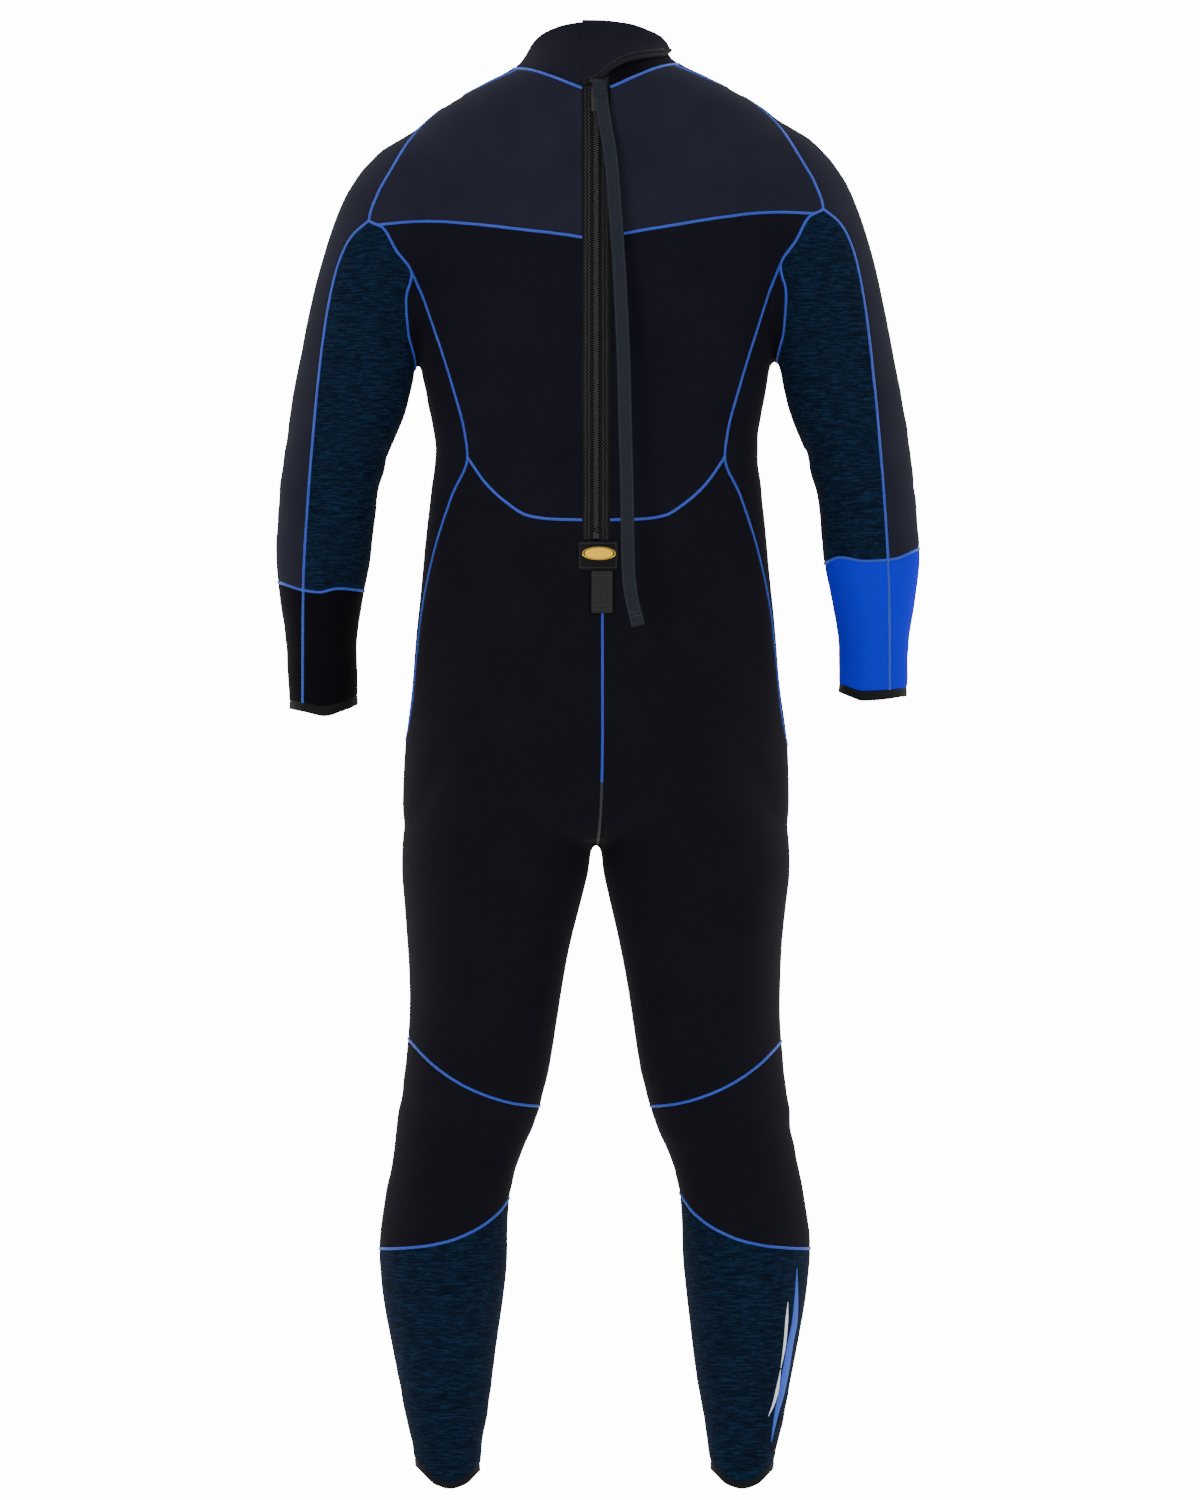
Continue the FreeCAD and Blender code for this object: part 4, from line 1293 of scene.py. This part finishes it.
class WETSUIT_OT_pull_webbing(bpy.types.Operator):
    """Hang the long webbing pull from the zip's slider"""
    bl_idname = "wetsuit.pull_webbing"
    bl_label = "Pull Webbing"

    def execute(self, context):
        width = context.scene.wetsuit_zip.webbing_width
        curve = bpy.data.curves.new("pull_route", "CURVE")
        curve.dimensions = "3D"
        curve.resolution_u = 24
        curve.use_fill_caps = False
        spline = curve.splines.new("NURBS")
        spline.points.add(len(LEASH_ROUTE) - 1)
        for point, (x, height) in zip(spline.points, LEASH_ROUTE):
            out = LEASH_OUT + 0.8 + (LEASH_ROUTE[0][1] - height) * LEASH_TILT
            point.co = on_back(x, out, height).to_4d()
        spline.order_u = 3
        spline.use_endpoint_u = True
        guide = link("pull_route", curve)
        line = bpy.data.meshes.new_from_object(guide)
        path = [vert.co.copy() for vert in line.vertices]
        bpy.data.objects.remove(guide)
        bpy.data.meshes.remove(line)
        normal = (on_back(0, 1, 1200) - on_back(0, 0, 1200)).normalized()
        run = evenly([(place, normal) for place in path], 1.3 * MM)
        half, thick = width / 2 / MM, 0.8
        profile = [(half * across, thick * rise) for across, rise in
                   ((1.0, 0.0), (0.97, 0.75), (0.9, 1.0), (0.6, 1.0), (0.3, 1.0), (0.0, 1.0),
                    (-0.3, 1.0), (-0.6, 1.0), (-0.9, 1.0), (-0.97, 0.75), (-1.0, 0.0),
                    (-0.97, -0.75), (-0.9, -1.0), (0.0, -1.0), (0.9, -1.0), (0.97, -0.75),
                    (1.0, 0.0))]
        bm = bmesh.new()
        ribbon(bm, run, profile)
        bmesh.ops.remove_doubles(bm, verts=bm.verts, dist=0.02 * MM)
        ends = [edge for edge in bm.edges if edge.is_boundary]
        bmesh.ops.holes_fill(bm, edges=ends, sides=0)
        webbing = mesh_object("pull_webbing", bm)
        webbing.data.set_sharp_from_angle(angle=math.radians(60))
        wear(webbing, "webbing")
        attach(webbing, "pull")
        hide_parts("pull_leash")
        length = sum((b - a).length for a, b in zip(path, path[1:]))
        tuple(path[0])
        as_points(path)
        bm = bmesh.new()
        for across in (-0.8, 0.8):
            edge_run = [(place + side * across * half * MM + out * (thick + 0.02) * MM, out)
                        for place, out, side in frames(run)]
            running_stitch(bm, edge_run, 2.2, 1.0, 0.28)
        for place, out, side in list(frames(run))[-12:-8:3]:
            bar = [(place + side * across * half * MM + out * (thick + 0.02) * MM, out)
                   for across in spread(-0.8, 0.8, 8)]
            running_stitch(bm, bar, 1.3, 0.4, 0.28)
        fold = [[on_back(x, 8.0 + 0.5 * math.sin((height - 1428) / 16 * math.pi), height)
                 for x in spread(-3.2 + (1436 - height) * 0.12, 10.8 + (1436 - height) * 0.12, 10)]
                for height in spread(1427, 1444.5, 12)]
        loop = plate("pull_webbing_fold", fold, 1.4)
        wear(loop, "webbing")
        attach(loop, "pull")
        threads = mesh_object("pull_webbing_stitching", bm)
        wear(threads, "black_thread")
        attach(threads, "pull")
        return {"FINISHED"}


# ---- collar flap ---------------------------------------------------------------------------------
FLAP_LOW = [(-14.4, 1441), (-5, 1442.5), (4, 1447), (14, 1456), (30, 1465), (55, 1471),
            (70, 1473.5), (76, 1479)]
FLAP_TOP = [(-14.4, 1507.6), (8, 1507), (44, 1500.5), (60, 1495.5), (68, 1491), (73, 1486),
            (76, 1480.5)]


def neck_section(height):
    """Neck's half width, back, front and squareness at a height."""
    rows = [row for row in TORSO if row[0] > 1400]
    if "neck" not in WORK:
        WORK["neck"] = [Line([(row[0], row[i]) for row in rows]) for i in range(1, 5)]
    return [line(height) for line in WORK["neck"]]


def round_neck(x, height, outset):
    """Point of the collar's back at x, raised by outset."""
    half_width, back, front, squareness = neck_section(height)
    half_width, half_depth = half_width + outset, (front - back) / 2 + outset
    bend = min(abs(x) / half_width, 0.9995)
    y = (front + back) / 2 - half_depth * (1 - bend ** squareness) ** (1 / squareness)
    return at(x, y, height)


def flap_out(x):
    """Distance of the flap's outer side from the collar."""
    return 0.4 + 5.4 * smooth_step((x + 16) / 52)


def flap_x(share):
    """The flap's x at a share of its width, closer together towards the tip."""
    return -14.4 + 90.4 * math.sin(share * math.pi / 2) ** 0.9


def flap_rows(low, top, inset=0.0, columns=44):
    rows = []
    for v in spread(0, 1, 14):
        row = []
        for u in spread(0, 1, columns):
            x = flap_x(u)
            bottom, high = low(x) + inset, top(x) - inset
            row.append(round_neck(x, bottom + (high - bottom) * v, flap_out(x)))
        rows.append(row)
    return rows


class WETSUIT_OT_collar_flap(bpy.types.Operator):
    """Sew the flap that closes the collar over the zip's top"""
    bl_idname = "wetsuit.collar_flap"
    bl_label = "Collar Flap"

    def execute(self, context):
        low, top = Line(FLAP_LOW), Line(FLAP_TOP)
        rows = flap_rows(low, top)
        flap = plate("collar_flap_cloth", rows, 3.0)
        wear(flap, "collar")
        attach(flap, "flap")
        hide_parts("collar_flap")
        flat_size(rows)
        edge = []
        for u in spread(0, 1, 60):
            x = flap_x(u)
            place = round_neck(x, low(x), flap_out(x) - 1.5)
            out = (place - round_neck(x, low(x), flap_out(x) - 8)).normalized()
            edge.append((place, out))
        loop = [(2.3 * math.cos(a), 2.3 * math.sin(a)) for a in
                [math.pi * 2 * step / 12 for step in range(13)]]
        bm = bmesh.new()
        ribbon(bm, eased(edge, 2), loop)
        bmesh.ops.remove_doubles(bm, verts=bm.verts, dist=0.02 * MM)
        bmesh.ops.holes_fill(bm, edges=[e for e in bm.edges if e.is_boundary], sides=0)
        bmesh.ops.recalc_face_normals(bm, faces=bm.faces)
        binding = mesh_object("flap_edge_binding_cloth", bm)
        wear(binding, "binding")
        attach(binding, "flap")
        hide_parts("flap_edge_binding")
        bm = bmesh.new()
        line = []
        for x in spread(-8, 70, 60):
            place = round_neck(x, low(x) + 5.5, flap_out(x) + 0.1)
            out = (place - round_neck(x, low(x) + 5.5, flap_out(x) - 8)).normalized()
            line.append((place, out))
        zigzag(bm, line, 0.9, 1.6, 0.3, 0.1)
        threads = mesh_object("flap_stitching", bm)
        wear(threads, "black_thread")
        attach(threads, "flap")
        for name, node, out, body in (("flap_hook_tape", "flap_hook_patch", 2.5, "flap"),
                                      ("collar_loop_tape", "collar_loop_patch", 1.0, "suit")):
            rows = [[round_neck(x, height + (x - 52) * 0.12, out) for x in spread(36, 68, 20)]
                    for height in spread(1478.5, 1491, 8)]
            tape = plate(name, rows, 1.0 if body == "suit" else 0.9)
            wear(tape, "hook_loop")
            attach(tape, body)
            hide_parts(node)
            flat_size(rows)
        return {"FINISHED"}


# ---- label, keeper and calf print ----------------------------------------------------------------
def rounded_rows(x_middle, half_width, low, high, corner, out, columns=28, rows=22):
    """Rows of points of a round-cornered patch lying on the cloth."""
    grid = []
    z_middle, half_height = (low + high) / 2, (high - low) / 2
    for v in spread(-1, 1, rows):
        row = []
        for u in spread(-1, 1, columns):
            x, z = u * half_width, v * half_height
            over_x = abs(x) - (half_width - corner)
            over_z = abs(z) - (half_height - corner)
            if over_x > 0 and over_z > 0:
                a, b = over_x / corner, over_z / corner
                x = math.copysign(half_width - corner + corner * a * math.sqrt(1 - b * b / 2), x)
                z = math.copysign(half_height - corner + corner * b * math.sqrt(1 - a * a / 2), z)
            row.append(on_cloth(x_middle + x, z_middle + z, out)[0])
        grid.append(row)
    return grid


def patch_outline(x_middle, half_width, low, high, inset, out):
    corners = [(x_middle - half_width + inset, low + inset),
               (x_middle + half_width - inset, low + inset),
               (x_middle + half_width - inset, high - inset),
               (x_middle - half_width + inset, high - inset)]
    for (x0, z0), (x1, z1) in zip(corners, corners[1:] + corners[:1]):
        yield [on_cloth(x0 + (x1 - x0) * t, z0 + (z1 - z0) * t, out) for t in spread(0, 1, 16)]


class WETSUIT_OT_label(bpy.types.Operator):
    """Sew the label patch, its oval badge and the keeper below the zip"""
    bl_idname = "wetsuit.label"
    bl_label = "Label and Keeper"

    def execute(self, context):
        rows = rounded_rows(2, 20.5, 943, 972.5, 2.0, 1.8)
        patch = plate("label_patch_cloth", rows, 1.6)
        wear(patch, "patch")
        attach(patch, "suit")
        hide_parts("label_patch")
        flat_size(rows)
        bm = bmesh.new()
        for line in patch_outline(2, 20.5, 943, 972.5, 2.2, 1.85):
            zigzag(bm, line, 0.6, 1.3, 0.28, 0.05)
        threads = mesh_object("label_stitching", bm)
        wear(threads, "black_thread")
        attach(threads, "suit")
        rings = [(0.0, 1.2), (0.35, 1.18), (0.62, 1.1), (0.8, 1.0), (0.84, 0.75), (0.9, 0.75),
                 (0.93, 0.95), (0.98, 0.8), (1.0, 0.0)]
        bm = bmesh.new()
        rows = []
        for reach, rise in rings:
            row = []
            for step in range(65):
                a = 2 * math.pi * step / 64
                place, normal = on_cloth(3 + 18 * reach * math.cos(a),
                                         960 + 7 * reach * math.sin(a), 1.75)
                row.append(place + normal * rise * 0.8 * MM)
            rows.append(row)
        strip(bm, rows[::-1])
        bmesh.ops.remove_doubles(bm, verts=bm.verts, dist=0.01 * MM)
        for face in bm.faces:
            x, _, height = measures(face.calc_center_median())
            reach = math.hypot((x - 3) / 18, (height - 960) / 7)
            face.material_index = 0 if reach < 0.81 or 0.9 < reach < 0.95 else 1
        badge = mesh_object("label_badge_oval", bm)
        wear(badge, "badge", "badge_edge")
        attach(badge, "suit")
        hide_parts("label_badge")
        rows = rounded_rows(6, 10.8, 899, 942, 1.5, 3.2, 18, 30)
        keeper = plate("keeper_tab_tape", rows, 2.0)
        wear(keeper, "keeper")
        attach(keeper, "keeper")
        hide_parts("keeper_tab")
        flat_size(rows)
        bm = bmesh.new()
        for height in (902.5, 906.5, 937):
            line = [on_cloth(x, height, 3.25) for x in spread(-3, 15, 14)]
            running_stitch(bm, line, 1.6, 0.6, 0.3)
        threads = mesh_object("keeper_stitching", bm)
        wear(threads, "black_thread")
        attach(threads, "keeper")
        return {"FINISHED"}


# centre x, height and width of each printed stroke on the wearer's right calf
CALF_STRIPE = [(206, 228, 0.5), (205.4, 196, 4.0), (203.8, 172, 6.0), (199.7, 151, 6.5),
               (194.6, 120, 7.0), (190.4, 98, 6.5), (185.3, 77, 4.5), (180, 48, 0.6)]
CALF_SWOOSHES = [[(196.6, 193, 0.3), (195.4, 172, 2.8), (193.6, 150, 2.6), (189.6, 125, 0.4)],
                 [(189.4, 123, 0.4), (185.6, 100, 3.2), (182, 87, 2.4), (177, 75, 0.3)]]


def print_stroke(bm, keys, out, finish):
    x_line = Line([(h, x) for x, h, _ in keys])
    width_line = Line([(h, w) for _, h, w in keys])
    rows = []
    for height in spread(keys[-1][1], keys[0][1], 60):
        half = max(width_line(height), 0.2) / 2
        rows.append([on_cloth(x_line(height) + half * across, height, rise)[0]
                     for across, rise in ((-1, 0.05), (-0.9, out), (0, out), (0.9, out),
                                          (1, 0.05))])
    strip(bm, rows, finish)


class WETSUIT_OT_calf_print(bpy.types.Operator):
    """Print the plain stripes on the right calf"""
    bl_idname = "wetsuit.calf_print"
    bl_label = "Calf Print"

    def execute(self, context):
        bm = bmesh.new()
        print_stroke(bm, CALF_STRIPE, 0.22, 0)
        for stroke in CALF_SWOOSHES:
            print_stroke(bm, stroke, 0.3, 1)
        print_piece = mesh_object("calf_print", bm)
        wear(print_piece, "print_blue", "print_white")
        join_bodies(print_piece, "calf_right")
        return {"FINISHED"}


# ---- stage ---------------------------------------------------------------------------------------
def softbox(name, place, aim, width, height, power):
    light = bpy.data.lights.new(name, "AREA")
    light.shape = "RECTANGLE"
    light.size, light.size_y, light.energy = width, height, power
    lamp = bpy.data.objects.new(name, light)
    bpy.context.scene.collection.objects.link(lamp)
    lamp.location = place
    lamp.rotation_euler = (Vector(aim) - Vector(place)).to_track_quat("-Z", "Y").to_euler()
    return lamp


# the floor's height, how bright it and the air look to the camera, and the air's light on the suit
FLOOR, PAPER_GLOW, AIR_LIGHT = -1.515, 14.0, 0.45


class WETSUIT_OT_stage(bpy.types.Operator):
    """Set the white floor and air, the softboxes and the camera"""
    bl_idname = "wetsuit.stage"
    bl_label = "Stage"

    def execute(self, context):
        stage = context.scene.wetsuit_stage
        bm = bmesh.new()
        strip(bm, [[Vector((x, y, FLOOR)) for x in (-30, 30)] for y in (-30, 30)])
        floor = mesh_object("studio_floor", bm)
        paper = Finish("studio_paper", roughness=0.9, specular=0.1)
        paper.colour(paper.grain((300, 300, 300)), [(0.3, (0.90, 0.90, 0.90, 1)),
                                                    (0.7, (0.93, 0.93, 0.93, 1))])
        paper.set("Emission Color", (1, 1, 1, 1))
        seen = paper.node("ShaderNodeLightPath").outputs["Is Camera Ray"]
        glow = paper.maths("ADD", paper.maths("MULTIPLY", seen, PAPER_GLOW), 0.3)
        paper.join(glow, paper.surface.inputs["Emission Strength"])
        floor.data.materials.append(paper.material)
        world = bpy.data.worlds.new("studio_air")
        world.use_nodes = True
        tree = world.node_tree
        background = tree.nodes["Background"]
        background.inputs["Color"].default_value = (1, 1, 1, 1)
        seen = tree.nodes.new("ShaderNodeLightPath").outputs["Is Camera Ray"]
        glow = tree.nodes.new("ShaderNodeMath")
        glow.operation = "MULTIPLY_ADD"
        glow.inputs[1].default_value, glow.inputs[2].default_value = PAPER_GLOW, AIR_LIGHT
        tree.links.new(seen, glow.inputs[0])
        tree.links.new(glow.outputs[0], background.inputs["Strength"])
        context.scene.world = world
        power = stage.light
        softbox("key_softbox", (-2.4, -3.6, 1.6), (0, 0, -0.6), 1.6, 2.2, 95 * power)
        softbox("fill_softbox", (2.8, -3.4, 0.6), (0, 0, -0.8), 1.8, 2.6, 60 * power)
        softbox("edge_left", (-2.6, 1.2, 0.4), (0, 0, -0.6), 0.7, 2.4, 45 * power)
        softbox("edge_right", (2.6, 1.2, 0.4), (0, 0, -0.6), 0.7, 2.4, 45 * power)
        softbox("top_softbox", (0, -0.4, 2.4), (0, 0, -0.2), 1.8, 1.2, 40 * power)
        camera = bpy.data.cameras.new("studio_camera")
        camera.sensor_fit = "VERTICAL"
        camera.sensor_height = 24.0
        camera.lens = 24.0 * stage.distance / stage.framed
        camera.clip_end = 60.0
        eye = bpy.data.objects.new("studio_camera", camera)
        context.scene.collection.objects.link(eye)
        eye.location = (0.004, -stage.distance, -0.741)
        eye.rotation_euler = (math.radians(90), 0, 0)
        context.scene.camera = eye
        return {"FINISHED"}


class WETSUIT_PT_sidebar(bpy.types.Panel):
    """Everything that builds the wetsuit"""
    bl_idname = "WETSUIT_PT_sidebar"
    bl_label = "Wetsuit"
    bl_space_type = "VIEW_3D"
    bl_region_type = "UI"
    bl_category = "Wetsuit"

    def draw(self, context):
        column = self.layout.column(align=True)
        for operator in OPERATORS:
            column.operator(operator.bl_idname)
        for label, name in (("Cloth", "wetsuit_cloth"), ("Seams", "wetsuit_seams"),
                            ("Zip", "wetsuit_zip"), ("Stage", "wetsuit_stage")):
            box = self.layout.box()
            box.label(text=label)
            group = getattr(context.scene, name)
            for key in group.__annotations__:
                box.prop(group, key)


GROUPS = {"wetsuit_cloth": WetsuitCloth, "wetsuit_seams": WetsuitSeams,
          "wetsuit_zip": WetsuitZip, "wetsuit_stage": WetsuitStage}
OPERATORS = (WETSUIT_OT_body_panels, WETSUIT_OT_sleeves, WETSUIT_OT_lower_legs,
             WETSUIT_OT_collar, WETSUIT_OT_seams, WETSUIT_OT_zip, WETSUIT_OT_hardware,
             WETSUIT_OT_pull_webbing, WETSUIT_OT_collar_flap, WETSUIT_OT_label,
             WETSUIT_OT_calf_print, WETSUIT_OT_stage)


def register():
    for cls in (*GROUPS.values(), *OPERATORS, WETSUIT_PT_sidebar):
        bpy.utils.register_class(cls)
    for name, group in GROUPS.items():
        setattr(bpy.types.Scene, name, bpy.props.PointerProperty(type=group))


def unregister():
    for name in GROUPS:
        delattr(bpy.types.Scene, name)
    for cls in (WETSUIT_PT_sidebar, *reversed(OPERATORS), *GROUPS.values()):
        bpy.utils.unregister_class(cls)


def main():
    register()
    for operator in OPERATORS:
        call = bpy.ops
        for part in operator.bl_idname.split("."):
            call = getattr(call, part)
        call()


if __name__ == "__main__":
    main()
